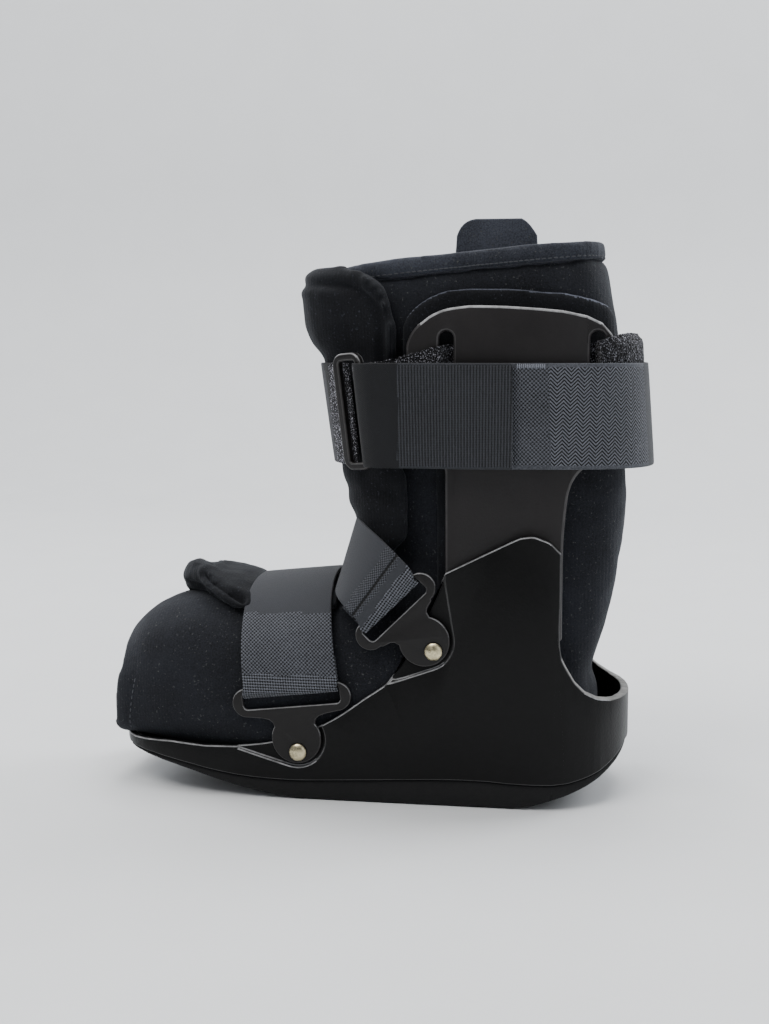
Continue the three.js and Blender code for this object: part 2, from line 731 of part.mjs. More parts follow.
// The fleece band lies outside both uprights' wings, dips in at their slots and
// passes behind them, and goes round the back
function fleeceBand() {
  const level = (fleeceLow + fleeceHigh) / 2;
  const [outside, inside] = [gap + fleeceWall / 2, -strutWall - gap - fleeceInside / 2];
  const station = (x, depth, thickness) => {
    const drop = fleeceDrop * (1 - THREE.MathUtils.smoothstep(x, fleeceEnd, slotMiddles()[0] + slotWidth));
    const middle = level - drop / 2;
    return wallStation(angleAt(x, depth, middle), depth, thickness, middle, fleeceHigh - fleeceLow - drop);
  };
  const [front, rear] = slotMiddles();
  const step = slotWidth * 0.2;
  const end = front - step - fleeceEnd;
  const near = [
    ...between(fleeceEnd, fleeceEnd + end, 5).map((x) => station(x, outside, fleeceWall)),
    ...between(front + step, rear - step, 10).map((x) => station(x, inside, fleeceInside)),
    station(rear + step, outside, fleeceWall),
  ];
  const start = angleAt(rear + step, outside, level);
  const back = between(start, -start, 18).slice(1, -1)
    .map((a) => wallStation(a, outside, fleeceWall, level, fleeceHigh - fleeceLow));
  const flip = (v) => vec(v.x, -v.y, v.z);
  const far = near.map((s) => ({
    ...s, at: flip(s.at), across: flip(s.across), out: flip(s.out),
  })).reverse();
  return sweep([...near, ...back, ...far]);
}

// The calf strap's ring: the strap's front end lies under it, and its long end is
// looped round the ring's rear bar
const strapMiddle = calfStrapLow + calfStrapWidth / 2;
const baseOffset = fleeceWall + 3 * gap + webbing / 2;
const loopRadius = ringThickness / 2 + gap + webbing / 2;
const ringOffset = baseOffset + loopRadius;

function ringFrame() {
  return wallStation(angleAt(ringX, ringOffset, strapMiddle), ringOffset, ringThickness, strapMiddle, ringLength);
}

function strapRing() {
  const frame = ringFrame();
  const [w, h] = [ringWidth / 2, ringLength / 2];
  const round = (shape, x, y, r) => {
    shape.moveTo(-x + r, -y);
    shape.lineTo(x - r, -y);
    shape.quadraticCurveTo(x, -y, x, -y + r);
    shape.lineTo(x, y - r);
    shape.quadraticCurveTo(x, y, x - r, y);
    shape.lineTo(-x + r, y);
    shape.quadraticCurveTo(-x, y, -x, y - r);
    shape.lineTo(-x, -y + r);
    shape.quadraticCurveTo(-x, -y, -x + r, -y);
    return shape;
  };
  const shape = round(new THREE.Shape(), w, h, ringCorner);
  shape.holes.push(round(new THREE.Path(), w - ringBar, h - ringBar * 0.85, ringCorner * 0.4));
  const geometry = new THREE.ExtrudeGeometry(shape, { depth: ringThickness, bevelEnabled: false, curveSegments: 4 });
  geometry.translate(0, 0, -ringThickness / 2);
  geometry.applyMatrix4(new THREE.Matrix4().makeBasis(frame.along, frame.across, frame.out).setPosition(frame.at));
  return geometry;
}

function calfStrap() {
  const frame = ringFrame();
  const barAt = (side) => frame.at.clone().addScaledVector(frame.along, (side * (ringWidth - ringBar)) / 2);
  const width = calfStrapWidth;
  const turn = between(0, Math.PI, 6).map((a) => ({
    at: barAt(1).addScaledVector(frame.out, -loopRadius * Math.cos(a))
      .addScaledVector(frame.along, -ringBar / 2 - loopRadius * Math.sin(a)),
    out: frame.out.clone().multiplyScalar(Math.cos(a)).addScaledVector(frame.along, Math.sin(a)),
    across: frame.across,
    width,
    thickness: webbing,
  }));
  const station = (angle, offset) => wallStation(angle, offset, webbing, strapMiddle, width);
  const over = ringOffset + loopRadius;
  const ease = (t) => t * t * (3 - 2 * t);
  const rear = angleAt(barAt(1).x, ringOffset, strapMiddle);
  const besideBar = 0.13;
  const straight = (lift, sign) => ({
    at: barAt(1).addScaledVector(frame.out, lift * loopRadius).addScaledVector(frame.along, ringBar / 2 + 1),
    out: frame.out.clone().multiplyScalar(sign),
    across: frame.across,
    width,
    thickness: webbing,
  });
  const start = angleAt(ringX, baseOffset, strapMiddle);
  const round = between(start, rear + besideBar - 2 * Math.PI, 46).map((a) => station(a, baseOffset));
  const tailOffset = baseOffset + webbing + gap;
  const tailFrom = rear + besideBar;
  const tailTo = angleAt(tailEnd, tailOffset, strapMiddle);
  const tail = between(0, 1, 9).map((t) => {
    const lift = over + (tailOffset - over) * ease(Math.min(1, t * 2.4));
    const s = station(tailFrom + (tailTo - tailFrom) * t, lift);
    s.out.negate();
    return s;
  });
  return sweep([...round, straight(-1, 1), ...turn, straight(1, -1), ...tail]);
}

// Strap plates and their rivets, on the near side
function plate(kind) {
  const { middle, angle } = plateFrame(kind);
  const half = kind.slot / 2 + barSpare;
  const bar = plateBar / 2;
  const shape = new THREE.Shape();
  const [from, to] = [180 - neckTurn, 360 + neckTurn].map(THREE.MathUtils.degToRad);
  const control = vec2(plateBoss * 0.92, -plateBar * 0.58);
  shape.absarc(-half + bar, 0, bar, Math.PI / 2, (Math.PI * 3) / 2, false);
  const boss = between(from, to, 16).map((a) => (
    vec2(plateBoss * Math.cos(a), plateBoss * Math.sin(a) - bossReach)
  ));
  shape.quadraticCurveTo(-control.x, control.y, boss[0].x, boss[0].y);
  boss.slice(1).forEach((p) => shape.lineTo(p.x, p.y));
  shape.quadraticCurveTo(control.x, control.y, half - bar, -bar);
  shape.absarc(half - bar, 0, bar, -Math.PI / 2, Math.PI / 2, false);
  const slot = new THREE.Path();
  const [slotFoot, slotHead] = [slotRaise - plateSlot / 2, slotRaise + plateSlot / 2];
  slot.moveTo(-kind.slot / 2, slotFoot);
  slot.lineTo(kind.slot / 2, slotFoot);
  slot.lineTo(kind.slot / 2, slotHead);
  slot.lineTo(-kind.slot / 2, slotHead);
  slot.closePath();
  const hole = new THREE.Path();
  hole.absarc(0, -plateReach, rivetShank / 2 + gap, 0, 2 * Math.PI, true);
  shape.holes.push(slot, hole);
  const geometry = new THREE.ExtrudeGeometry(shape, {
    depth: plateThickness, bevelEnabled: false, curveSegments: 4,
  });
  geometry.rotateZ(angle);
  geometry.rotateX(Math.PI / 2);
  geometry.translate(middle.x, plateFace + plateThickness, middle.y);
  return geometry;
}

const pocketFace = shellWidth / 2 - pocketDepth;
const plateFace = -(pocketFace + gap) - plateThickness;
const strapRaise = slotRaise + plateSlot / 2 - foldRadius * 0.75;

function rivet(kind) {
  const { x, y } = rivetAt(kind);
  const half = rivetHead / 2;
  const dome = between(0, 1, 3).map((t) => vec2(half * Math.cos((t * Math.PI) / 2),
    rivetDome * 0.3 + rivetDome * 0.7 * Math.sin((t * Math.PI) / 2)));
  dome[dome.length - 1].x = 0;
  const profile = [vec2(0, -plateThickness - gap), vec2(rivetShank / 2, -plateThickness - gap),
    vec2(rivetShank / 2, 0), vec2(half, 0), ...dome];
  const geometry = new THREE.LatheGeometry(profile, 12);
  geometry.rotateX(Math.PI);
  geometry.translate(x, plateFace - gap, y);
  return geometry;
}

// A strap that folds through a plate's slot on each side and goes over the boot
function crossStrap(kind, width, atTop, halfLine, grow) {
  const { middle, u } = plateFrame(kind);
  const across = vec(u.x, 0, u.y);
  const up = vec(-u.y, 0, u.x);
  const slotAt = vec(middle.x, plateFace + plateThickness / 2, middle.y).addScaledVector(up, strapRaise);
  const thickness = webbing + 2 * grow;
  const full = width + 2 * grow;
  const centre = slotAt.clone().addScaledVector(up, foldRadius);
  const fold = between(0, Math.PI, 6).map((a) => {
    const out = vec(0, Math.cos(a), 0).addScaledVector(up, -Math.sin(a));
    return { at: centre.clone().addScaledVector(out, foldRadius), across, out, width: full, thickness };
  });
  const inside = { at: fold[0].at.clone().addScaledVector(up, foldBack), across, out: fold[0].out, width: full, thickness };
  const flip = (v) => vec(v.x, -v.y, v.z);
  const flipped = (s) => ({ ...s, at: flip(s.at), across: flip(s.across), out: flip(s.out) });
  const near = [inside, ...fold, ...halfLine.map((s, i, all) => ({
    ...s, width: full * THREE.MathUtils.lerp(1, atTop, i / (all.length - 1)), thickness,
  }))];
  return sweep([...near, ...near.slice(0, -1).reverse().map(flipped)]);
}

// Stations along half a strap's line, from above its slot to the middle
function overLine(kind, points, acrossAtTop) {
  const { u } = plateFrame(kind);
  const curve = new THREE.CatmullRomCurve3([...points, ...points.slice(0, -1).reverse()
    .map((p) => vec(p.x, -p.y, p.z))]);
  const count = 18;
  return between(0, 0.5, count / 2).map((t) => {
    const at = curve.getPoint(t);
    const across = vec(u.x, 0, u.y).lerp(acrossAtTop, THREE.MathUtils.smoothstep(t, 0.05, 0.42)).normalize();
    const tangent = curve.getTangent(t);
    const out = across.clone().cross(tangent).normalize();
    return { at, across: across.addScaledVector(tangent, -across.dot(tangent)).normalize(), out };
  });
}

function forefootStrap(grow) {
  const kind = PLATES[0];
  const { middle, u } = plateFrame(kind);
  const side = -(plateFace + plateThickness / 2) + foldRadius;
  const foot = middle.y + strapRaise + foldRadius + 2;
  const crest = footTop * 0.985 + flapWall + gap * 2 + webbing / 2;
  const lean = -u.y / u.x;
  const points = between(0, 1, 7).map((t) => {
    const a = (t * Math.PI) / 2;
    const [y, rise] = [side * power(Math.cos(a), 2 / 2.3), (crest - foot) * power(Math.sin(a), 2 / 2.2)];
    return vec(middle.x + lean * rise, -y, foot + rise);
  });
  const line = overLine(kind, points, vec(0.995, 0, 0.1).normalize());
  return crossStrap(kind, forefootStrapWidth, forefootNarrowing, line, grow);
}

function ankleStrap(grow) {
  const kind = PLATES[1];
  const { middle } = plateFrame(kind);
  const points = ANKLE_ROWS.map(({ ahead, up, side }) => vec(
    middle.x - ahead * ankleReach,
    -side * (-(plateFace + plateThickness / 2) + foldRadius),
    middle.y + strapRaise + up * ankleReach,
  ));
  return crossStrap(kind, ankleStrapWidth, 1, overLine(kind, points, vec(0.277, 0, 0.96)), grow);
}

// The toe flap comes over the foot from the far side and ends in a rolled edge
function toeFlap() {
  const steps = 9;
  const panel = loft(FLAP_ROWS.map(({ along, reach, puff }) => {
    const angles = between(0.12, reach * Math.PI, steps);
    const thick = (a) => flapWall * (1 + puff * Math.sin(a) ** 2);
    return [
      ...angles.map((a) => footPoint(along, a, gap + thick(a), 0)),
      ...angles.slice().reverse().map((a) => footPoint(along, a, 2 * gap, 0)),
    ];
  }));
  const edge = FLAP_ROWS.slice(0, 5).map(({ along, reach }, i) => {
    const lift = THREE.MathUtils.lerp(flapRollFront + flapWall * 0.9, flapRollEnd * 0.8, i / 4);
    return footPoint(along, reach * Math.PI, gap + lift, 0);
  });
  const curve = new THREE.CatmullRomCurve3(edge);
  const rings = between(0, 1, 8).map((t) => {
    const at = curve.getPoint(t);
    const tangent = curve.getTangent(t);
    const side = tangent.clone().cross(vec(0, 0, 1)).normalize();
    const up = side.clone().cross(tangent).normalize();
    const taper = t < 0.05 || t > 0.95 ? 0.7 : 1;
    const radius = THREE.MathUtils.lerp(flapRollFront, flapRollEnd, t) * taper;
    return around(9, (a) => at.clone().addScaledVector(side, radius * 0.72 * Math.cos(a))
      .addScaledVector(up, radius * Math.sin(a)));
  });
  return solid(panel).add(solid(loft(rings)));
}

// The boot, put together
const MATERIALS = {
  shell: new THREE.MeshStandardMaterial({ color: 0x252424, roughness: 0.55, metalness: 0 }),
  rubber: new THREE.MeshStandardMaterial({ color: 0x1d1d1e, roughness: 0.85, metalness: 0 }),
  upright: new THREE.MeshStandardMaterial({ color: 0x2d2a2b, roughness: 0.5, metalness: 0 }),
  liner: new THREE.MeshStandardMaterial({ color: 0x14171c, roughness: 0.95, metalness: 0 }),
  fleece: new THREE.MeshStandardMaterial({ color: 0x17181a, roughness: 1, metalness: 0 }),
  webbing: new THREE.MeshStandardMaterial({ color: 0x32343a, roughness: 0.9, metalness: 0 }),
  plate: new THREE.MeshStandardMaterial({ color: 0x242021, roughness: 0.5, metalness: 0 }),
  rivet: new THREE.MeshStandardMaterial({ color: 0xa79a70, roughness: 0.35, metalness: 1 }),
};

const boot = new THREE.Group();
boot.name = 'walking_boot';

function place(name, geometry, material) {
  const mesh = new THREE.Mesh(flare(geometry), MATERIALS[material]);
  mesh.name = name;
  boot.add(mesh);
}

function placeBothSides(name, geometry, material) {
  place(`${name}_near`, geometry.clone(), material);
  place(`${name}_far`, mirrored(geometry), material);
}

place('outsole', outsole(), 'rubber');
place('foot_shell', footShell(), 'shell');
placeBothSides('strut', strut(), 'upright');
placeBothSides('strut_pad', strutPad(), 'liner');

const straps = [forefootStrap(2 * gap), ankleStrap(2 * gap)].map(solid);
const clearOf = (body, cutters) => cutters.reduce((rest, cutter) => rest.subtract(cutter), body);
const keepLargest = (body) => body.decompose().sort((a, b) => b.volume() - a.volume())[0];
place('liner', geometryOf(keepLargest(clearOf(linerBody(), [shellBody(gap), ...straps]))), 'liner');
place('collar_binding', geometryOf(collarBinding()), 'liner');
place('pull_tab', pullTab(), 'liner');
place('shin_pad', geometryOf(keepLargest(clearOf(shinPad(), straps))), 'liner');
place('toe_flap', geometryOf(keepLargest(clearOf(toeFlap(), [shellBody(gap), ...straps]))), 'liner');
place('fleece_band', fleeceBand(), 'fleece');
place('calf_strap', calfStrap(), 'webbing');
place('strap_ring', strapRing(), 'plate');
place('forefoot_strap', forefootStrap(0), 'webbing');
place('ankle_strap', ankleStrap(0), 'webbing');
PLATES.forEach((kind) => {
  placeBothSides(`${kind.name}_plate`, plate(kind), 'plate');
  placeBothSides(`${kind.name}_rivet`, rivet(kind), 'rivet');
});

export default boot;
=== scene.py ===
"""Looks of a short walking boot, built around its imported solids.

Everything is in metres: +Z up, toe towards -X, the side with the strap ring towards -Y.
"""
import math

import bmesh
import bpy
import numpy as np
from mathutils import Matrix, Vector
from mathutils.bvhtree import BVHTree


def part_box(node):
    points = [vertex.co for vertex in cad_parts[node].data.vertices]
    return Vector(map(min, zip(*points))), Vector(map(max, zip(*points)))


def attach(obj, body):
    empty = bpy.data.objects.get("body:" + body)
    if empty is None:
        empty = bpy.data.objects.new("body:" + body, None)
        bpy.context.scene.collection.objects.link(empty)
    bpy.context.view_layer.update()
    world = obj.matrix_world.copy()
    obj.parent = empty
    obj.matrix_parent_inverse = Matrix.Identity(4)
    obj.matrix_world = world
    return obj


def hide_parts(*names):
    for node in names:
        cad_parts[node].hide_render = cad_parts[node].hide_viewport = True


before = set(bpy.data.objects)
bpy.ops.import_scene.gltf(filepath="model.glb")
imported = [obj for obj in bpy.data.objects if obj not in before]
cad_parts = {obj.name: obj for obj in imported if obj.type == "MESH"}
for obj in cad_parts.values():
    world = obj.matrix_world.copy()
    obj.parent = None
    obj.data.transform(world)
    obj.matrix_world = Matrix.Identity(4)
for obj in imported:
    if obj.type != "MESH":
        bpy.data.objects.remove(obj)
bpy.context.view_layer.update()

bl_info = {
    "name": "Walking boot",
    "version": (1, 0, 0),
    "blender": (4, 5, 0),
    "location": "View3D > Sidebar > Boot",
    "description": "Builds the pieces and finishes of a short walking boot",
    "category": "Object",
}

MM = 0.001
BODY = "root"
SIDES = ("near", "far")
CALF_CENTRE = Vector((0.052, 0.0, 0.193))
# The collar's slope towards the heel, and the height of its seam at one place along x
COLLAR_SLOPE, COLLAR_FROM, COLLAR_SEAM = 0.09, 0.104, 0.2689
# Faces of a moulding that meet at less than this are shaded as one
SMOOTH_ANGLE = math.radians(38.0)
# Faces of a moulding that meet at more than this have a rounded edge between them
SHARP_ANGLE = math.radians(35.0)
# Place of the rounded edges' finish, a painted highlight, in a moulding's list of finishes
EDGE = 1
WELD = 0.02 * MM
THREAD_LIFT = 0.1 * MM
CLOTH_PRESSURE = 4.0
CLOTH_STEPS = 20


def length(name, text, default, **limits):
    return bpy.props.FloatProperty(
        name=name, description=text, default=default, unit="LENGTH", precision=4, **limits)


def colour(name, text, default):
    return bpy.props.FloatVectorProperty(
        name=name, description=text, default=default, subtype="COLOR", min=0.0, max=1.0)


class BootSizes(bpy.types.PropertyGroup):
    shell_edge: length("Shell edge", "Radius of the moulded shell's edges", 0.0006)
    upright_edge: length("Upright edge", "Radius of the uprights' edges", 0.0012)
    sole_edge: length("Sole edge", "Radius of the outsole's edges", 0.0012)
    plate_edge: length("Plate edge", "Radius of the strap plates' edges", 0.0005)
    webbing_edge: length("Webbing edge", "Roundness of the webbing's edges", 0.0005)
    tab_edge: length("Tab edge", "Roundness of the pull tab's edges", 0.0010)
    cloth_detail: length("Liner detail", "Size of a face on the liner", 0.0022)
    fine_detail: length("Fine detail", "Size of a face on small padded pieces", 0.0014)
    pad_detail: length("Pad detail", "Size of a face on the shin pad before it is filled", 0.0032)
    flap_detail: length("Flap detail", "Size of a face on the flap before it is filled", 0.0026)
    stitch: length("Stitch", "Length of one stitch", 0.0024)
    stitch_pitch: length("Stitch spacing", "Distance from stitch to stitch", 0.0034)
    thread: length("Thread", "Thickness of the thread", 0.0007)


class BootColours(bpy.types.PropertyGroup):
    shell: colour("Shell", "Moulded foot shell", (0.0040, 0.0040, 0.0041))
    # This colour is a painted highlight on rounded moulded edges that face up
    edge: colour("Painted edge highlight", "Highlight painted on moulded edges that face up", (0.21, 0.21, 0.215))
    # This colour is a painted highlight on the heel rim's top, where it faces up
    heel_rim_highlight: colour("Heel rim highlight", "Highlight painted on the top of the shell's heel rim", (0.135, 0.132, 0.126))
    rubber: colour("Rubber", "Outsole", (0.0085, 0.0085, 0.0088))
    upright: colour("Upright", "Side uprights", (0.0125, 0.0112, 0.0115))
    liner: colour("Liner", "Brushed cloth of the padded pieces", (0.0062, 0.0068, 0.0088))
    fleece: colour("Fleece", "Looped band behind the calf strap", (0.008, 0.008, 0.009))
    webbing: colour("Webbing", "Woven straps", (0.034, 0.036, 0.042))
    plate: colour("Plate", "Strap plates and ring", (0.0085, 0.0078, 0.0078))
    rivet: colour("Rivet", "Rivet heads", (0.62, 0.55, 0.36))
    floor: colour("Floor", "Floor and backdrop", (0.62, 0.63, 0.64))


class BootView(bpy.types.PropertyGroup):
    place: bpy.props.FloatVectorProperty(
        name="Camera place", description="Where the camera stands",
        default=(0.1158, -0.7312, 0.2240), subtype="TRANSLATION")
    azimuth: bpy.props.FloatProperty(
        name="Azimuth", description="Turn of the camera about Z", default=math.radians(9.0),
        subtype="ANGLE")
    pitch: bpy.props.FloatProperty(
        name="Pitch", description="How far the camera looks down", default=math.radians(6.46),
        subtype="ANGLE")
    lens: bpy.props.FloatProperty(
        name="Lens", description="Focal length on a 36 mm sensor", default=50.27, unit="CAMERA")


def sizes():
    return bpy.context.scene.boot_sizes


def colours():
    return bpy.context.scene.boot_colours


# Meshes
def new_object(name, mesh):
    obj = bpy.data.objects.new(name, mesh)
    bpy.context.scene.collection.objects.link(obj)
    return obj


def object_from(name, bm):
    mesh = bpy.data.meshes.new(name)
    bm.to_mesh(mesh)
    bm.free()
    return new_object(name, mesh)


def merged(node):
    """A CAD node's form, its loose triangles joined."""
    bm = bmesh.new()
    bm.from_mesh(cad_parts[node].data)
    bmesh.ops.remove_doubles(bm, verts=bm.verts, dist=WELD)
    bm.normal_update()
    return bm


def round_edges(bm, edges, radius, segments, **others):
    """Bevels edges and gives their new faces; others are the bevel's own settings."""
    settings = {"offset_type": "OFFSET", "affect": "EDGES", "profile": 0.5, "material": -1,
                **others}
    return bmesh.ops.bevel(bm, geom=edges, offset=radius, segments=segments, **settings)["faces"]


def apply_modifiers(obj):
    depsgraph = bpy.context.evaluated_depsgraph_get()
    mesh = bpy.data.meshes.new_from_object(obj.evaluated_get(depsgraph))
    obj.modifiers.clear()
    obj.data = mesh


def with_modifier(obj, kind, **settings):
    modifier = obj.modifiers.new(kind.title(), kind)
    for key, value in settings.items():
        setattr(modifier, key, value)


def points_of(obj):
    co = np.empty(len(obj.data.vertices) * 3)
    obj.data.vertices.foreach_get("co", co)
    return co.reshape(-1, 3)


def normals_of(obj):
    normals = np.empty(len(obj.data.vertices) * 3)
    obj.data.vertices.foreach_get("normal", normals)
    return normals.reshape(-1, 3)


def set_points(obj, co):
    obj.data.vertices.foreach_set("co", co.ravel())
    obj.data.update()


def move_along_normals(obj, amount):
    """Moves each point along its normal by amount, an array in metres."""
    set_points(obj, points_of(obj) + normals_of(obj) * np.asarray(amount)[:, None])


def dress(obj, nodes, slot, *finishes):
    """Gives a finished piece its body and its finishes, and hides the nodes it stands for; slot is
    not used.
    """
    for key in finishes:
        obj.data.materials.append(material(key))
    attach(obj, BODY)
    if nodes:
        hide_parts(*nodes)


def shade_smooth(obj, angle=None):
    bm = bmesh.new()
    bm.from_mesh(obj.data)
    for face in bm.faces:
        face.smooth = True
    if angle is not None:
        for edge in bm.edges:
            edge.smooth = edge.is_manifold and edge.calc_face_angle(0.0) < angle
    bm.to_mesh(obj.data)
    bm.free()


def moulded_copy(node, name, radius, segments=2, edge=EDGE, curved=False):
    """A CAD node's form with its sharp edges rounded; the rounded faces take the edge finish, by
    default the painted edge highlight.

    With curved, the straight stretches of its side outline first flow into each other.
    """
    flat, slight, row_share = math.radians(0.6), math.radians(3), 38.0
    bm = merged(node)
    bmesh.ops.dissolve_limit(
        bm, angle_limit=flat, use_dissolve_boundaries=False,
        verts=bm.verts, edges=bm.edges, delimit={"NORMAL"})
    if curved:
        rows = [e for e in bm.edges
                if e.is_manifold and slight < e.calc_face_angle(0.0) < SHARP_ANGLE
                and abs((e.verts[0].co - e.verts[1].co).normalized().y) > 0.9]
        round_edges(bm, rows, row_share, 3, offset_type="PERCENT", clamp_overlap=False)
    edges = [e for e in bm.edges if e.is_manifold and e.calc_face_angle(0.0) > SHARP_ANGLE]
    # Rounded faces take the finish at place edge, by default the painted edge highlight
    for face in round_edges(bm, edges, radius, segments, clamp_overlap=not curved, loop_slide=True):
        face.material_index = edge
    bmesh.ops.remove_doubles(bm, verts=bm.verts, dist=WELD / 4)
    obj = object_from(name, bm)
    shade_smooth(obj, SMOOTH_ANGLE)
    return obj


def soft_copy(node, name, detail, rounds):
    """An even, fine mesh over a CAD node's form, with its facets smoothed away."""
    obj = object_from(name, merged(node))
    with_modifier(obj, "REMESH", mode="VOXEL", voxel_size=detail, use_smooth_shade=True)
    with_modifier(obj, "SMOOTH", factor=0.5, iterations=rounds)
    apply_modifiers(obj)
    shade_smooth(obj)
    return obj


def inflate(obj, cap):
    """Fills a padded piece by cloth simulation; cap gives how far each point may move."""
    before = points_of(obj)
    scene = bpy.context.scene
    cloth = obj.modifiers.new("Filling", "CLOTH")
    cloth.settings.quality = 4
    cloth.settings.use_pressure = True
    cloth.settings.uniform_pressure_force = CLOTH_PRESSURE
    cloth.settings.effector_weights.gravity = 0.0
    for step in range(1, CLOTH_STEPS + 1):
        scene.frame_set(step)
    apply_modifiers(obj)
    scene.frame_set(1)
    moved = points_of(obj) - before
    reach = np.linalg.norm(moved, axis=1)
    share = np.minimum(1.0, cap(before) / np.maximum(reach, 1e-9))
    set_points(obj, before + moved * share[:, None])


def refine(obj, rounds=1, smooth=0):
    """Finer faces over a soft piece, with its facets smoothed away."""
    with_modifier(obj, "SUBSURF", levels=rounds, render_levels=rounds)
    if smooth:
        with_modifier(obj, "SMOOTH", factor=0.5, iterations=smooth)
    apply_modifiers(obj)
    shade_smooth(obj)


# Surface forms, all worked on arrays of points
def ramp(value, low, high):
    t = np.clip((value - low) / (high - low), 0.0, 1.0)
    return t * t * (3 - 2 * t)


def distance_to_line(across, up, line):
    """Distance of points, seen from one side, to a line through (across, up) places."""
    best = np.full(len(across), 1e9)
    for (x0, z0), (x1, z1) in zip(line, line[1:]):
        dx, dz = x1 - x0, z1 - z0
        t = np.clip(((across - x0) * dx + (up - z0) * dz) / (dx * dx + dz * dz), 0.0, 1.0)
        best = np.minimum(best, np.hypot(across - x0 - t * dx, up - z0 - t * dz))
    return best


def fold(across, up, line, depth, width):
    """How far a crease along a line presses points in, and the cloth beside it stands out."""
    d = distance_to_line(across, up, line) / width
    return depth * (0.45 * np.exp(-((d - 1.6) ** 2)) - np.exp(-d * d))


def waves(points, size, seed):
    """Slow unevenness of handmade cloth, from -1 to 1."""
    rng = np.random.default_rng(seed)
    total = np.zeros(len(points))
    for _ in range(7):
        direction = rng.normal(size=3)
        direction /= np.linalg.norm(direction)
        phase = rng.uniform(0, 2 * math.pi)
        total += np.sin(points @ direction * (2 * math.pi / size) * rng.uniform(0.7, 1.4) + phase)
    return total / 4.0


# Materials
# Where a Mix node keeps its two colours and its result
MIX_FIRST, MIX_SECOND, MIX_RESULT = 6, 7, 2


class Finish:
    """A material and short words for its nodes."""

    def __init__(self, name, base, roughness, **sockets):
        self.material = bpy.data.materials.new(name)
        self.material.use_nodes = True
        self.nodes = self.material.node_tree.nodes
        self.links = self.material.node_tree.links
        self.shader = self.nodes["Principled BSDF"]
        self.base = (*base, 1.0)
        self.shader.inputs["Base Color"].default_value = self.base
        self.shader.inputs["Roughness"].default_value = roughness
        for socket, value in sockets.items():
            self.shader.inputs[socket.replace("_", " ")].default_value = value
        self.bump_input = None

    def node(self, kind, inputs=None, **settings):
        made = self.nodes.new(kind)
        for key, value in settings.items():
            setattr(made, key, value)
        for key, value in (inputs or {}).items():
            if isinstance(value, bpy.types.NodeSocket):
                self.links.new(value, made.inputs[key])
            else:
                made.inputs[key].default_value = value
        return made

    def coordinates(self, scale=(1.0, 1.0, 1.0), turn=(0.0, 0.0, 0.0), uv=False):
        source = self.node("ShaderNodeTexCoord").outputs["UV" if uv else "Object"]
        mapping = self.node("ShaderNodeMapping", {"Vector": source})
        mapping.inputs["Scale"].default_value = scale
        mapping.inputs["Rotation"].default_value = turn
        return mapping.outputs["Vector"]

    def noise(self, scale, detail=3.0, roughness=0.55, vector=None):
        vector = vector or self.coordinates()
        return self.node(
            "ShaderNodeTexNoise",
            {"Vector": vector, "Scale": scale, "Detail": detail, "Roughness": roughness},
        ).outputs["Fac"]

    def cells(self, scale):
        inputs = {"Vector": self.coordinates(), "Scale": scale}
        return self.node("ShaderNodeTexVoronoi", inputs).outputs["Distance"]

    def maths(self, operation, first, second=0.0, third=0.0):
        inputs = {0: first, 1: second, 2: third}
        return self.node("ShaderNodeMath", inputs, operation=operation).outputs["Value"]

    def spread(self, value, low, high, to_low=0.0, to_high=1.0):
        """A value between low and high, spread evenly between two others."""
        return self.node("ShaderNodeMapRange", {
            "Value": value, "From Min": low, "From Max": high, "To Min": to_low, "To Max": to_high,
        }).outputs["Result"]

    def shade(self, share):
        """A share of the piece's own colour."""
        return (*[min(1.0, c * share) for c in self.base[:3]], 1.0)

    def tint(self, factor, dark, light):
        """Base colour between two shares of the piece's own colour."""
        return self.blend(factor, self.shade(dark), self.shade(light))

    def blend(self, factor, first, second):
        """Base colour between two colours."""
        inputs = {"Factor": factor, MIX_FIRST: first, MIX_SECOND: second}
        return self.node("ShaderNodeMix", inputs, data_type="RGBA").outputs[MIX_RESULT]

    def colour_from(self, socket):
        self.links.new(socket, self.shader.inputs["Base Color"])

    def roughness_from(self, socket):
        self.links.new(socket, self.shader.inputs["Roughness"])

    def bump(self, height, distance, strength=1.0):
        made = self.node(
            "ShaderNodeBump", {"Height": height, "Distance": distance, "Strength": strength})
        if self.bump_input:
            self.links.new(self.bump_input, made.inputs["Normal"])
        self.bump_input = made.outputs["Normal"]
        self.links.new(self.bump_input, self.shader.inputs["Normal"])


def moulded(name, base, roughness, grain=1.0, gloss=0.2):
    """Moulded plastic: a fine grain, uneven gloss, faint scuffs."""
    finish = Finish(name, base, roughness, Specular_IOR_Level=gloss)
    cloud = finish.noise(22.0, 4.0)
    grit = finish.noise(1500.0, 2.0)
    drawn_out = finish.coordinates(scale=(1.0, 1.0, 9.0), turn=(0.0, 0.5, 0.0))
    scuff = finish.noise(60.0, 5.0, 0.7, drawn_out)
    scratch = finish.spread(scuff, 0.68, 0.74)
    worn = finish.maths("ADD", cloud, finish.maths("MULTIPLY", scratch, 0.35))
    finish.colour_from(finish.tint(finish.spread(worn, 0.3, 0.9), 0.78, 1.45))
    finish.roughness_from(finish.spread(cloud, 0.3, 0.7, roughness - 0.07, roughness + 0.09))
    finish.bump(grit, 0.00006 * grain)
    finish.bump(finish.cells(700.0), 0.00005 * grain)
    return finish.material


def painted_highlight(name, base, roughness=0.5):
    """Painted highlight for rounded moulded edges and the heel rim's top, rubbed paler in places.
    """
    finish = Finish(name, base, roughness, Specular_IOR_Level=0.5)
    rubbed = finish.spread(finish.noise(160.0, 5.0, 0.7), 0.35, 0.65)
    finish.colour_from(finish.tint(rubbed, 0.5, 1.3))
    finish.bump(finish.noise(1400.0), 0.00004)
    return finish.material


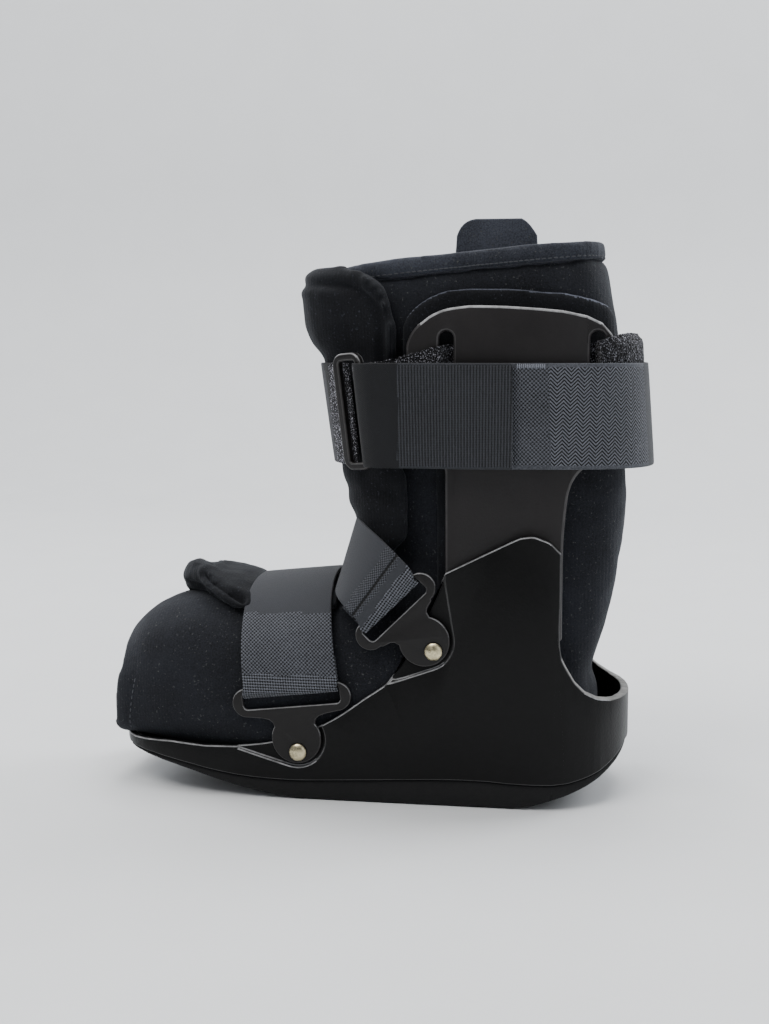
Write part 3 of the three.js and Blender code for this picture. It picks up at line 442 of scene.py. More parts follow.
def brushed_cloth(name, base, lift=1.0):
    """Loop-faced padded cloth: a soft sheen over fine rows and specks of lint."""
    finish = Finish(name, base, 0.95, Specular_IOR_Level=0.2, Sheen_Weight=0.05 * lift,
                    Sheen_Roughness=0.5, Sheen_Tint=(0.8, 0.85, 0.95, 1.0))
    fibre = finish.noise(1300.0, 3.0, 0.7)
    nap = finish.noise(260.0, 3.0)
    patch = finish.noise(18.0, 3.0)
    rows = finish.node(
        "ShaderNodeTexWave", {"Vector": finish.coordinates(), "Scale": 190.0, "Distortion": 1.2,
                              "Detail": 1.0, "Detail Scale": 2.0},
        wave_type="BANDS", bands_direction="X").outputs["Fac"]
    lint = finish.spread(finish.noise(750.0, 2.0, 0.6), 0.64, 0.74)
    lint_colour = (*[min(c * 7.5, 0.06) for c in base], 1.0)
    mottle = finish.maths("MULTIPLY", patch, 0.5)
    mottle = finish.maths("ADD", finish.maths("MULTIPLY", fibre, 0.6), mottle)
    toned = finish.tint(finish.spread(mottle, 0.38, 0.72), 0.35, 2.3)
    finish.colour_from(finish.blend(lint, toned, lint_colour))
    finish.bump(rows, 0.00010, 0.5)
    finish.bump(nap, 0.0003)
    finish.bump(fibre, 0.00022)
    return finish.material


def looped_fleece(name, base):
    """Short loops with pale flecks where they catch the light."""
    finish = Finish(name, base, 1.0, Specular_IOR_Level=0.15, Sheen_Weight=0.05)
    fleck = finish.spread(finish.noise(1500.0, 2.0, 0.6), 0.56, 0.63)
    finish.colour_from(finish.tint(fleck, 1.0, 30.0))
    finish.bump(finish.cells(900.0), 0.0006)
    finish.bump(finish.noise(700.0, 3.0), 0.0006)
    return finish.material


# Each weave: spacing of its stripes along and across the band in mm, the share of the
# second in their sum or None for their product, relief in mm, darkest and lightest tone,
# and how widely its tones are spread. The herringbone's first two are the length of its
# zigzags and the spacing of its lines.
WEAVES = {
    "ribs": (1.45, 0.8, 0.4, 0.22, (0.25, 2.0), (0.35, 0.95)),
    "rows": (1.45, 1.3, 0.8, 0.26, (0.1, 3.4), (0.46, 0.84)),
    "dots": (1.9, 1.9, None, 0.28, (0.12, 3.0), (0.46, 0.84)),
    "seam": (1.5, 1.7, None, 0.24, (0.2, 2.0), (0.46, 0.84)),
    "plain": (0.9, 0.9, None, 0.07, (0.75, 1.25), (0.35, 0.95)),
    "herringbone": (3.2, 1.75, None, 0.22, (0.08, 3.3), (0.46, 0.84)),
}
SEAM_AT = 17.6 * MM


def woven(name, base, weave, light=1.0, selvedge=0.0):
    """Webbing in one of the weaves, plain beyond the selvedge, a distance from its middle."""
    first_pitch, second_pitch, share, depth, tones, spread = WEAVES[weave]
    finish = Finish(name, [c * light for c in base], 0.85, Specular_IOR_Level=0.25,
                    Sheen_Weight=0.06, Sheen_Roughness=0.5)
    parts = finish.node("ShaderNodeSeparateXYZ", {"Vector": finish.coordinates(uv=True)})
    along, across = parts.outputs["X"], parts.outputs["Y"]

    def stripe(value, pitch):
        return finish.maths("SINE", finish.maths("MULTIPLY", value, 2 * math.pi / (pitch * MM)))

    if weave == "herringbone":
        zigzag = finish.maths("PINGPONG", along, first_pitch * MM)
        height = stripe(finish.maths("ADD", across, zigzag), second_pitch)
    elif share:
        second = finish.maths("MULTIPLY", stripe(across, second_pitch), share)
        height = finish.maths("ADD", stripe(along, first_pitch), second)
    else:
        height = finish.maths("MULTIPLY", stripe(along, first_pitch), stripe(across, second_pitch))
    fuzz = finish.noise(1500.0, 3.0, 0.7)
    patch = finish.noise(40.0, 3.0)
    if selvedge:
        off = finish.maths("ABSOLUTE", across)
        inside = finish.spread(off, selvedge, selvedge + 0.5 * MM, 1.0, 0.0)
        height = finish.maths("MULTIPLY", height, inside)
    level = finish.maths("MULTIPLY", finish.spread(height, -1.0, 1.0), 0.6)
    mixed = finish.maths("ADD", level, finish.maths("MULTIPLY", fuzz, 0.55))
    mixed = finish.maths("ADD", mixed, finish.maths("MULTIPLY", patch, 0.15))
    toned = finish.tint(finish.spread(mixed, *spread), *tones)
    finish.bump(height, depth * MM)
    if weave == "seam":
        off = finish.maths("ABSOLUTE", finish.maths("SUBTRACT", along, SEAM_AT))
        line = finish.spread(off, 0.3 * MM, 0.9 * MM)
        toned = finish.blend(line, finish.shade(0.1), toned)
        finish.bump(line, 0.0006)
    finish.colour_from(toned)
    finish.bump(fuzz, 0.00012)
    return finish.material


def metal(name, base):
    """Plated metal with a little tarnish."""
    finish = Finish(name, base, 0.32, Metallic=1.0)
    tarnish = finish.noise(420.0, 4.0)
    finish.colour_from(finish.tint(finish.spread(tarnish, 0.3, 0.7), 0.55, 1.15))
    finish.roughness_from(finish.spread(tarnish, 0.3, 0.7, 0.22, 0.45))
    finish.bump(tarnish, 0.00008)
    return finish.material


def plain_finish(name, base, roughness):
    """A painted floor, very slightly uneven."""
    finish = Finish(name, base, roughness, Specular_IOR_Level=0.3)
    finish.colour_from(finish.tint(finish.noise(14.0, 4.0), 0.96, 1.03))
    finish.bump(finish.noise(240.0), 0.00006)
    return finish.material


MATERIALS = {}


def material(key):
    """The finish called key; all of them are made when the first is asked for."""
    if not MATERIALS:
        c = colours()
        MATERIALS.update({
            "shell": moulded("Moulded shell", c.shell, 0.42, gloss=0.13),
            # Painted highlight: a light finish for rounded moulded edges that face up
            "edge": painted_highlight("Moulded edge painted highlight", c.edge),
            # Painted highlight on the heel rim's top faces that look up
            "heel_rim_highlight": painted_highlight("Heel rim highlight", c.heel_rim_highlight, 0.6),
            "rubber": moulded("Sole rubber", c.rubber, 0.72, 3.0),
            "upright": moulded("Upright plastic", c.upright, 0.42),
            "liner": brushed_cloth("Liner cloth", [v * 1.25 for v in c.liner]),
            "pad": brushed_cloth("Pad cloth", [v * 0.6 for v in c.liner], 0.9),
            # A lighter copy of the liner cloth: painted light on the collar's binding at the top of
            # the boot
            "binding": brushed_cloth("Binding cloth with painted light", [v * 3.2 for v in c.liner], 1.3),
            "fleece": looped_fleece("Looped fleece", c.fleece),
            "ribs": woven("Ribbed elastic", c.webbing, "ribs", 0.60, 23.6 * MM),
            "herringbone": woven("Herringbone webbing", c.webbing, "herringbone", 1.05, 22.8 * MM),
            "sewn": woven("Sewn webbing", c.webbing, "dots", 0.9, 22.8 * MM),
            "dots": woven("Dotted webbing", c.webbing, "dots", 1.0),
            "rows": woven("Stitched webbing", c.webbing, "rows", 1.2),
            "plain": woven("Close webbing", c.webbing, "plain", 0.95),
            "dark": woven("Shaded webbing", c.webbing, "plain", 0.24),
            # Painted highlight: a much lighter copy of the liner cloth for the upright pads' tops
            # that face up
            "foam": brushed_cloth("Foam top painted highlight", [v * 7.0 for v in c.liner]),
            # A lighter copy of the liner cloth: painted light on the pull tab at the top of the
            # boot
            "tab": brushed_cloth("Tab cloth with painted light", [v * 4.4 for v in c.liner]),
            "hooks": looped_fleece("Strap end", [v * 1.8 for v in c.fleece]),
            "seam": woven("Seamed webbing", c.webbing, "seam", 1.1),
            "plate": moulded("Plate plastic", c.plate, 0.36),
            # Painted highlight on the rounded edges of the plates and the ring that face up
            "plate_edge": painted_highlight("Plate edge", [v * 0.8 for v in c.edge], 0.4),
            # Duller painted highlights for rounded edges that don't face up, lighter than the body
            # they sit on
            "edge_side": painted_highlight("Moulded edge sides, dim painted highlight", [v * 5.0 for v in c.shell]),
            "upright_side": painted_highlight("Upright edge sides, dim painted highlight", [v * 1.8 for v in c.upright]),
            "plate_side": painted_highlight("Plate edge sides, dim painted highlight", [v * 2.4 for v in c.plate]),
            "rivet": metal("Rivet metal", c.rivet),
            "thread": Finish("Thread", [v * 1.3 for v in c.webbing], 0.8).material,
            "light_thread": Finish("Light thread", [v * 5.0 for v in c.webbing], 0.7).material,
            "floor": plain_finish("Floor", c.floor, 0.55),
        })
    return MATERIALS[key]


# Stitches
def stitches(name, runs, thread="thread"):
    """One piece of thread for several runs of (place, along, out) stations."""
    s = sizes()
    lying = Matrix.Rotation(math.pi / 2, 4, "Y")
    bm = bmesh.new()
    for stations in runs:
        for place, along, out in stations:
            side = out.cross(along).normalized()
            basis = Matrix((along, side, out)).transposed().to_4x4()
            shape = Matrix.Diagonal((s.stitch / 2, s.thread / 2, s.thread / 2, 1.0))
            bmesh.ops.create_uvsphere(
                bm, u_segments=6, v_segments=4, radius=1.0,
                matrix=Matrix.Translation(place) @ basis @ shape @ lying)
    obj = object_from(name, bm)
    shade_smooth(obj)
    dress(obj, (), "webbing", thread)


def run_on(tree, line, toward):
    """Stitch stations along a line of points cast onto a surface in one direction."""
    pitch = sizes().stitch_pitch
    direction = Vector(toward).normalized()
    landed = []
    for start, end in zip(line, line[1:]):
        start, end = Vector(start), Vector(end)
        count = max(1, round((end - start).length / pitch))
        for i in range(count):
            hit, normal, _, _ = tree.ray_cast(start.lerp(end, i / count), direction)
            if hit:
                landed.append((hit, normal if normal.dot(direction) < 0 else -normal))
    stations = []
    for (a, normal), (b, _) in zip(landed, landed[1:]):
        along = b - a
        if along.length < pitch * 2.5:
            stations.append(((a + b) / 2 + normal * THREAD_LIFT, along.normalized(), normal))
    return stations


def around_calf(tree, height, count=130):
    """Stitch stations round the calf, on the collar's slope at this height."""
    landed = []
    for i in range(count + 1):
        angle = 2 * math.pi * i / count
        out = Vector((math.cos(angle), math.sin(angle), 0.0))
        x = CALF_CENTRE.x + 0.06 * out.x
        for _ in range(3):
            level = height + COLLAR_SLOPE * (x - COLLAR_FROM)
            start = Vector((CALF_CENTRE.x, 0.0, level)) + out * 0.15
            hit, normal, _, _ = tree.ray_cast(start, -out)
            if hit:
                x = hit.x
        if hit:
            landed.append((hit, normal))
    stations = []
    for (a, normal), (b, _) in zip(landed, landed[1:]):
        stations.append(((a + b) / 2 + normal * THREAD_LIFT, (b - a).normalized(), normal))
    return stations


def surface(obj):
    return BVHTree.FromObject(obj, bpy.context.evaluated_depsgraph_get())


# Webbing
def wrap_table(obj, centre, plane, count=240):
    """Distance along a band, by the angle at which it is seen from its middle."""
    tree = surface(obj)
    first, second = plane
    angles = np.linspace(-math.pi, math.pi, count + 1)
    radii = []
    for angle in angles:
        out = Vector(first) * math.cos(angle) + Vector(second) * math.sin(angle)
        hit = tree.ray_cast(centre + out * 0.3, -out)[0]
        radii.append((hit - centre).length if hit else math.nan)
    radii = np.array(radii)
    known = ~np.isnan(radii)
    radii = np.interp(angles, angles[known], radii[known])
    x, y = radii * np.cos(angles), radii * np.sin(angles)
    run = np.concatenate([[0.0], np.cumsum(np.hypot(np.diff(x), np.diff(y)))])
    return angles, run


def lay_out(obj, centre, plane, across, from_ends=False):
    """UV map in metres: x along the band, from both its ends if asked, and y across it."""
    angles, run = wrap_table(obj, centre, plane)
    co = points_of(obj) - np.array(centre)
    first, second = (np.array(v) for v in plane)
    at = np.arctan2(co @ second, co @ first)
    u = np.interp(at, angles, run)
    if from_ends:
        u = np.minimum(u - u.min(), u.max() - u)
    v = co @ np.array(across)
    layer = obj.data.uv_layers.new(name="Weave")
    corner = np.empty(len(obj.data.loops), dtype=int)
    obj.data.loops.foreach_get("vertex_index", corner)
    uu = u[corner]
    # a face that spans the seam of the angle keeps one side's count
    sides = np.empty(len(obj.data.polygons), dtype=int)
    obj.data.polygons.foreach_get("loop_total", sides)
    starts = np.concatenate([[0], np.cumsum(sides)[:-1]])
    total = run[-1]
    for start, count in zip(starts, sides):
        part = uu[start:start + count]
        if part.max() - part.min() > total / 2:
            part[part < total / 2] += total
    layer.data.foreach_set("uv", np.column_stack([uu, v[corner]]).ravel())
    return u


def webbing_copy(node, name, radius):
    """A band's form as rounded quads, smooth along its run."""
    bend, rim_angle = math.radians(35), math.radians(62)
    bm = merged(node)
    bmesh.ops.join_triangles(
        bm, faces=bm.faces, angle_face_threshold=bend, angle_shape_threshold=math.radians(179))
    edges = [e for e in bm.edges if e.is_manifold and e.calc_face_angle(0.0) > rim_angle]
    round_edges(bm, edges, radius, 2, clamp_overlap=True, loop_slide=True)
    obj = object_from(name, bm)
    refine(obj, 2)
    return obj


def choose_material(obj, pick):
    """Sets each face's material from the middle of the face."""
    for face in obj.data.polygons:
        face.material_index = pick(face.center, face.normal)


def zones(obj, run, limits):
    """Sets each face's material from how far along its band it lies."""
    for face in obj.data.polygons:
        at = sum(run[i] for i in face.vertices) / len(face.vertices)
        face.material_index = sum(at > limit for limit in limits)


# Flat mouldings
PLATES = {
    "forefoot": {"middle": (-0.03858, 0.05154), "turn": 6.6, "slot": 0.0495},
    "ankle": {"middle": (0.01382, 0.09765), "turn": 44.6, "slot": 0.0385},
}


def arc(centre, radius, start, end, count):
    """Points of an arc in a plane, its angles in degrees."""
    turns = np.radians(np.linspace(start, end, count + 1))
    return [(centre[0] + radius * math.cos(a), centre[1] + radius * math.sin(a)) for a in turns]


def rounded_box(left, right, foot, head, radius, count=5):
    """Outline of an upright box with round corners."""
    corners = ((right - radius, head - radius, 0), (left + radius, head - radius, 90),
               (left + radius, foot + radius, 180), (right - radius, foot + radius, 270))
    return [p for x, y, turn in corners for p in arc((x, y), radius, turn, turn + 90, count)]


def cut_sheet(name, outlines, thickness, edge, segments=3):
    """A flat moulding from its outline and the outlines of its holes, with rounded edges."""
    bm = bmesh.new()
    for outline in outlines:
        ring = [bm.verts.new((x, y, 0.0)) for x, y in outline]
        for a, b in zip(ring, ring[1:] + ring[:1]):
            bm.edges.new((a, b))
    bmesh.ops.triangle_fill(bm, use_beauty=True, use_dissolve=True, edges=bm.edges)
    made = bmesh.ops.extrude_face_region(bm, geom=bm.faces[:])
    moved = [v for v in made["geom"] if isinstance(v, bmesh.types.BMVert)]
    bmesh.ops.translate(bm, vec=(0.0, 0.0, thickness), verts=moved)
    bmesh.ops.recalc_face_normals(bm, faces=bm.faces)
    sharp = [e for e in bm.edges if e.is_manifold and e.calc_face_angle(0.0) > math.radians(50)
             and abs(e.verts[0].co.z - e.verts[1].co.z) < thickness / 2]
    # The rounded faces take the painted edge highlight
    for face in round_edges(bm, sharp, edge, segments, clamp_overlap=True):
        face.material_index = EDGE
    obj = object_from(name, bm)
    shade_smooth(obj, math.radians(40))
    return obj


def light_above(obj, least, height=0.0, other=2):
    """Leaves the bright painted highlight only on rounded edges that look up and lie above height;
    the rest take a duller painted highlight.
    """
    for face in obj.data.polygons:
        if face.material_index == EDGE and (face.normal.z < least or face.center.z < height):
            face.material_index = other


def lean_out(obj):
    """The boot's sides lean out from the sole up, and so do the pieces on them."""
    co = points_of(obj)
    co[:, 1] *= 1 + 0.8 * np.maximum(co[:, 2], 0.0)
    set_points(obj, co)


class BOOT_OT_stage(bpy.types.Operator):
    """Floor, backdrop, lights and the camera at the photograph's angle"""
    bl_idname = "boot.stage"
    bl_label = "Stage"

    def execute(self, context):
        scene = context.scene
        view = scene.boot_view
        camera_data = bpy.data.cameras.new("Camera")
        camera_data.lens = view.lens
        camera_data.sensor_width = 36.0
        camera_data.clip_start = 0.01
        camera = new_object("Camera", camera_data)
        camera.location = view.place
        camera.rotation_euler = (math.pi / 2 - view.pitch, 0.0, view.azimuth)
        scene.camera = camera

        bm = bmesh.new()
        bmesh.ops.create_grid(bm, x_segments=1, y_segments=1, size=1.0)
        bmesh.ops.scale(bm, vec=(6.0, 2.6, 1.0), verts=bm.verts)
        bmesh.ops.translate(bm, vec=(0.0, -0.9, 0.0), verts=bm.verts)
        back = [e for e in bm.edges if all(v.co.y > 1.0 for v in e.verts)]
        made = bmesh.ops.extrude_edge_only(bm, edges=back)
        top = [v for v in made["geom"] if isinstance(v, bmesh.types.BMVert)]
        bmesh.ops.translate(bm, vec=(0.0, 0.0, 3.2), verts=top)
        corner = [e for e in bm.edges if all(v.co.y > 1.0 and v.co.z < 0.1 for v in e.verts)]
        round_edges(bm, corner, 0.5, 12)
        floor = object_from("floor", bm)
        shade_smooth(floor)
        floor.data.materials.append(material("floor"))

        world = bpy.data.worlds.new("Studio")
        world.use_nodes = True
        background = world.node_tree.nodes["Background"]
        background.inputs["Color"].default_value = (0.86, 0.89, 0.93, 1.0)
        background.inputs["Strength"].default_value = 0.36
        scene.world = world
        lamps = (
            ("Key", (-0.8, -1.1, 2.3), 44.0, 1.2, (1.0, 0.985, 0.96)),
            ("Fill", (1.6, -1.6, 1.0), 9.0, 1.6, (0.93, 0.96, 1.0)),
            ("Top", (0.1, 0.3, 2.3), 62.0, 1.6, (1.0, 1.0, 1.0)),
            ("Rim", (1.5, 1.0, 1.3), 34.0, 1.0, (0.95, 0.97, 1.0)),
            ("Toe", (-1.7, 0.7, 1.2), 22.0, 1.0, (0.95, 0.97, 1.0)),
        )
        for name, place, power, size, tone in lamps:
            lamp = bpy.data.lights.new(name, "AREA")
            lamp.energy = power
            lamp.size = size
            lamp.color = tone
            lamp_object = new_object(name, lamp)
            lamp_object.location = place
            aim = Vector((0.0, 0.0, 0.12)) - Vector(place)
            lamp_object.rotation_euler = aim.to_track_quat("-Z", "Y").to_euler()
        return {"FINISHED"}


class BOOT_OT_shell(bpy.types.Operator):
    """Moulded foot shell with painted highlights, rubbed paler in places, on its rounded edges and
    its heel rim's top, and the rubber outsole
    """
    bl_idname = "boot.shell"
    bl_label = "Shell and sole"

    def execute(self, context):
        s = sizes()
        shell = moulded_copy("foot_shell", "shell", s.shell_edge, curved=True)
        rim, side = 2, 3
        rim_from, rim_height, rim_slope = 0.094, 0.045, 0.35
        # Faces on top of the heel rim that look up take a painted highlight
        for face in shell.data.polygons:
            at = face.center
            if at.x > rim_from and at.z > rim_height and face.normal.z > rim_slope:
                face.material_index = rim
        # Shell edges that don't face up take the duller painted highlight at place side
        light_above(shell, 0.25, other=side)
        dress(shell, ["foot_shell"], "shell", "shell", "edge", "heel_rim_highlight", "edge_side")
        sole = moulded_copy("outsole", "sole", s.sole_edge, 3, edge=0, curved=True)
        dress(sole, ["outsole"], "rubber", "rubber")
        return {"FINISHED"}


class BOOT_OT_uprights(bpy.types.Operator):
    """The two uprights and the foam pads behind them"""
    bl_idname = "boot.uprights"
    bl_label = "Uprights"

    def execute(self, context):
        s = sizes()
        for side in SIDES:
            upright = moulded_copy(
                f"strut_{side}", f"upright_{side}", s.upright_edge, 3, curved=True)
            # Only the upright's rounded edges that look up near its top keep the bright painted
            # highlight
            light_above(upright, 0.05, 0.236)
            dress(upright, [f"strut_{side}"], "upright", "upright", "edge", "upright_side")
            pad = soft_copy(f"strut_pad_{side}", f"upright_pad_{side}", s.fine_detail, 6)
            move_along_normals(pad, 0.0003 * waves(points_of(pad), 0.022, 3))
            # Faces at the pad's top that look up take the painted highlight; the rest keep the pad
            # cloth
            choose_material(pad, lambda at, out: int(out.z > 0.55 and at.z > 0.2))
            dress(pad, [f"strut_pad_{side}"], "liner", "pad", "foam")
        return {"FINISHED"}


class BOOT_OT_liner(bpy.types.Operator):
    """Padded liner with its hem, the bound collar and the pull tab"""
    bl_idname = "boot.liner"
    bl_label = "Liner"

    def execute(self, context):
        s = sizes()
        liner = soft_copy("liner", "liner_padding", s.cloth_detail, 22)
        self.round_toe(liner)
        co = points_of(liner)
        x, z = co[:, 0], co[:, 2]
        move = 0.0009 + 0.0005 * waves(co, 0.05, 5) + 0.00022 * waves(co, 0.016, 6)
        hem = [(-0.1288, 0.022), (-0.1278, 0.034), (-0.1252, 0.048), (-0.1225, 0.060)]
        move += fold(x, z, hem, 0.0004, 0.0014)
        move_along_normals(liner, move)
        dress(liner, ["liner"], "liner", "liner")

        collar = soft_copy("collar_binding", "collar", s.fine_detail, 6)
        co = points_of(collar)
        level = co[:, 2] - COLLAR_SLOPE * (co[:, 0] - COLLAR_FROM)
        move = -0.0006 * np.exp(-(((level - COLLAR_SEAM) / 0.0010) ** 2))
        move += 0.0003 * waves(co, 0.03, 8)
        move_along_normals(collar, move)
        dress(collar, ["collar_binding"], "liner", "binding")

        tab = moulded_copy("pull_tab", "pull_tab_cloth", s.tab_edge, 3, edge=0)
        co = points_of(tab)
        middle = (co[:, 0].min() + co[:, 0].max()) / 2
        taper = 1.07 - 0.15 * ramp(co[:, 2], 0.277, 0.294)
        co[:, 0] = middle + (co[:, 0] - middle) * taper
        set_points(tab, co)
        dress(tab, ["pull_tab"], "liner", "tab")

        stitches("collar_stitches", [around_calf(surface(collar), COLLAR_SEAM)])
        tree = surface(liner)
        stitches("liner_stitches", [
            run_on(tree, [(x, side * 0.2, z) for x, z in hem], (0, -side, 0)) for side in (-1, 1)])
        return {"FINISHED"}

    def round_toe(self, liner):
        """The toe's padding stands fuller above and ends steeper than its solid."""
        co = points_of(liner)
        x, z = co[:, 0].copy(), co[:, 2].copy()
        back = np.interp(z, [0.020, 0.043, 0.062, 0.075, 0.084],
                         [0.0050, 0.0052, 0.0042, 0.0010, -0.0018])
        co[:, 0] += back * ramp(-x, 0.090, 0.130)
        co[:, 2] += 0.0024 * np.exp(-((x + 0.116) / 0.012) ** 2) * ramp(z, 0.050, 0.066)
        set_points(liner, co)


class BOOT_OT_shin_pad(bpy.types.Operator):
    """Shin pad with its rolled border, the crease under it and its wrinkles"""
    bl_idname = "boot.shin_pad"
    bl_label = "Shin pad"

    def execute(self, context):
        crease = [(-0.060, 0.2562), (-0.0389, 0.2561), (-0.0239, 0.2553), (-0.0147, 0.2549),
                  (-0.0083, 0.2541), (-0.0039, 0.2526), (0.0015, 0.2483), (0.0044, 0.2445),
                  (0.0061, 0.2412), (0.0069, 0.2346), (0.0066, 0.2279), (0.0066, 0.2150)]
        pad = soft_copy("shin_pad", "shin_padding", sizes().pad_detail, 4)
        height = points_of(pad)[:, 2]
        move_along_normals(pad, -0.0012 * (1 - ramp(height, 0.218, 0.236)))

        def cap(co):
            x, z = co[:, 0], co[:, 2]
            held = ramp(z, 0.158, 0.168) * (1 - ramp(z, 0.218, 0.246))
            free = 0.0030 * (1 - held) + 0.0012 * held
            free *= 0.25 + 0.75 * ramp(z, 0.140, 0.220)
            return free * (1 - 0.8 * np.exp(-(distance_to_line(x, z, crease) / 0.004) ** 2))

        inflate(pad, cap)
        refine(pad, 2, 4)
        co = points_of(pad)
        x, z = co[:, 0], co[:, 2]
        radial = co - np.array(CALF_CENTRE)
        radial[:, 2] = 0.0
        facing = (normals_of(pad) * radial).sum(axis=1) / np.linalg.norm(radial, axis=1)
        outer = ramp(facing, -0.2, 0.4)
        wrinkles = sum(fold(x, z, line, 0.00035, 0.0012) for line in (
            [(0.0010, 0.2550), (0.0035, 0.2580)], [(0.0040, 0.2520), (0.0070, 0.2545)],
            [(0.0060, 0.2480), (0.0100, 0.2500)],
        ))
        sags = sum(fold(x, z, line, 0.0009, 0.0045) for line in (
            [(-0.020, 0.1560), (-0.006, 0.1520), (0.010, 0.1545)],
            [(-0.010, 0.1420), (0.002, 0.1390), (0.016, 0.1400)],
        ))
        move = (fold(x, z, crease, 0.0012, 0.0024) + wrinkles + sags) * outer
        move += 0.0016 * ramp(z, 0.240, 0.256)
        move += 0.0005 * waves(co, 0.045, 11) + 0.0002 * waves(co, 0.014, 12)
        move_along_normals(pad, move)
        dress(pad, ["shin_pad"], "liner", "pad")
        return {"FINISHED"}


class BOOT_OT_toe_flap(bpy.types.Operator):
    """Toe flap with its rolled free edge"""
    bl_idname = "boot.toe_flap"
    bl_label = "Toe flap"

    def execute(self, context):
        flap = soft_copy("toe_flap", "toe_flap_cloth", sizes().flap_detail, 5)

        def cap(co):
            return 0.0018 * (1 - ramp(co[:, 0], -0.080, -0.068))

        inflate(flap, cap)
        refine(flap, 1, 3)
        co = points_of(flap)
        x, z = co[:, 0], co[:, 2]
        creases = sum(fold(x, z, line, depth, 0.0016) for line, depth in (
            ([(-0.0990, 0.1020), (-0.0900, 0.1010), (-0.0800, 0.0975)], 0.0008),
            ([(-0.0905, 0.1085), (-0.0830, 0.1055), (-0.0740, 0.1010), (-0.0670, 0.0985)], 0.0026),
        ))
        creases -= 0.0013 * ramp(x, -0.074, -0.067)
        creases += 0.0005 * waves(co, 0.03, 21) + 0.0002 * waves(co, 0.012, 22)
        move_along_normals(flap, creases)
        co = points_of(flap)
        x, z = co[:, 0], co[:, 2]
        hang = (0.0027 + 0.0036 * (1 - ramp(z, 0.098, 0.110))) * (1 - ramp(x, -0.101, -0.092))
        co[:, 0] -= hang * ramp(z, 0.086, 0.094)
        top = np.interp(x, [-0.104, -0.100, -0.096, -0.0925, -0.085, -0.078, -0.070, -0.062],
                        [0.0, 0.0016, 0.0010, 0.0006, -0.0014, -0.0020, -0.0012, 0.0])
        co[:, 2] += top * ramp(z, 0.100, 0.109)
        set_points(flap, co)
        dress(flap, ["toe_flap"], "liner", "pad")
        return {"FINISHED"}


class BOOT_OT_calf_band(bpy.types.Operator):
    """Fleece band, the calf strap in its three weaves and the ring it is looped through"""
    bl_idname = "boot.calf_band"
    bl_label = "Calf strap"

    def execute(self, context):
        s = sizes()
        level = ((1, 0, 0), (0, 1, 0))
        fleece = webbing_copy("fleece_band", "fleece", s.webbing_edge)
        refine(fleece)
        co = points_of(fleece)
        rear = ramp(co[:, 0], 0.102, 0.126) * ramp(co[:, 2], 0.206, 0.228)
        co[:, 2] += 0.0050 * rear
        co[:, 0] -= 0.0028 * ramp(co[:, 2], 0.2255, 0.2325) ** 2 * rear
        set_points(fleece, co)
        move_along_normals(fleece, 0.00025 * waves(co, 0.0042, 31) + 0.0002 * waves(co, 0.002, 32))
        dress(fleece, ["fleece_band"], "fleece", "fleece")

        strap = webbing_copy("calf_strap", "calf_webbing", s.webbing_edge)
        lay_out(strap, CALF_CENTRE, level, (0, 0, 1))

        finishes = ("ribs", "sewn", "herringbone", "dark", "hooks", "plain")

        def weave(at, out):
            """Place in the list of finishes: only the near side shows the three weaves."""
            if at.y > -0.03:
                return finishes.index("plain")
            if -0.022 < at.x < -0.0062 and out.y < 0:
                return finishes.index("hooks")
            stretches = ((0.016, "dark"), (0.0702, "ribs"), (0.087, "sewn"))
            key = next((key for end, key in stretches if at.x < end), "herringbone")
            return finishes.index(key)

        choose_material(strap, weave)
        dress(strap, ["calf_strap"], "webbing", *finishes)
        self.bar_tack(strap)
        ring = self.ring()
        # Only the ring's rounded edges that look up near its top keep the bright painted highlight
        light_above(ring, 0.30, 0.2120)
        dress(ring, ["strap_ring"], "plate", "plate", "plate_edge", "plate_side")
        return {"FINISHED"}

    def ring(self):
        """A flat ring laid where the frame's ring lies, with its upright, side and out axes."""
        bm = merged("strap_ring")
        at = np.array([v.co for v in bm.verts])
        bm.free()
        axes = np.linalg.svd(at - at.mean(axis=0))[2]
        spread = (at - at.mean(axis=0)) @ axes.T
        centre = at.mean(axis=0) + ((spread.min(axis=0) + spread.max(axis=0)) / 2) @ axes
        up, _, out = (Vector(axis) for axis in axes)
        up = up if up.z > 0 else -up
        out = out if out.y < 0 else -out
        side = up.cross(out)
        half_long, half_wide, half_thick = (spread.max(axis=0) - spread.min(axis=0)) / 2
        front, rear = 0.0048 - half_wide, half_wide - 0.0028
        foot, head = 0.0028 - half_long, half_long
        outer_corner, inner_corner, edge = 0.0062, 0.0016, 0.0009
        outside = rounded_box(front, rear, foot, head, outer_corner, 9)
        inside = rounded_box(front + 0.0040, rear - 0.0036, foot + 0.0036, head - 0.0038,
                             inner_corner)
        ring = cut_sheet("ring", (outside, inside), half_thick * 2, edge, 4)
        basis = Matrix((side, up, out)).transposed().to_4x4()
        ring.data.transform(Matrix.Translation(Vector(centre) - out * half_thick) @ basis)
        return ring

    def bar_tack(self, strap):
        """Close light stitches that hold the strap's end at its upper edge."""
        tree = surface(strap)
        run = []
        for x in np.arange(0.0722, 0.0850, 0.0009):
            hit, normal, _, _ = tree.ray_cast(Vector((x, -0.2, 0.2165)), Vector((0, 1, 0)))
            if hit:
                up = (Vector((0, 0, 1)) - normal * normal.z).normalized()
                run.append((hit + normal * THREAD_LIFT, up, normal))
        stitches("bar_tack", [run], "light_thread")


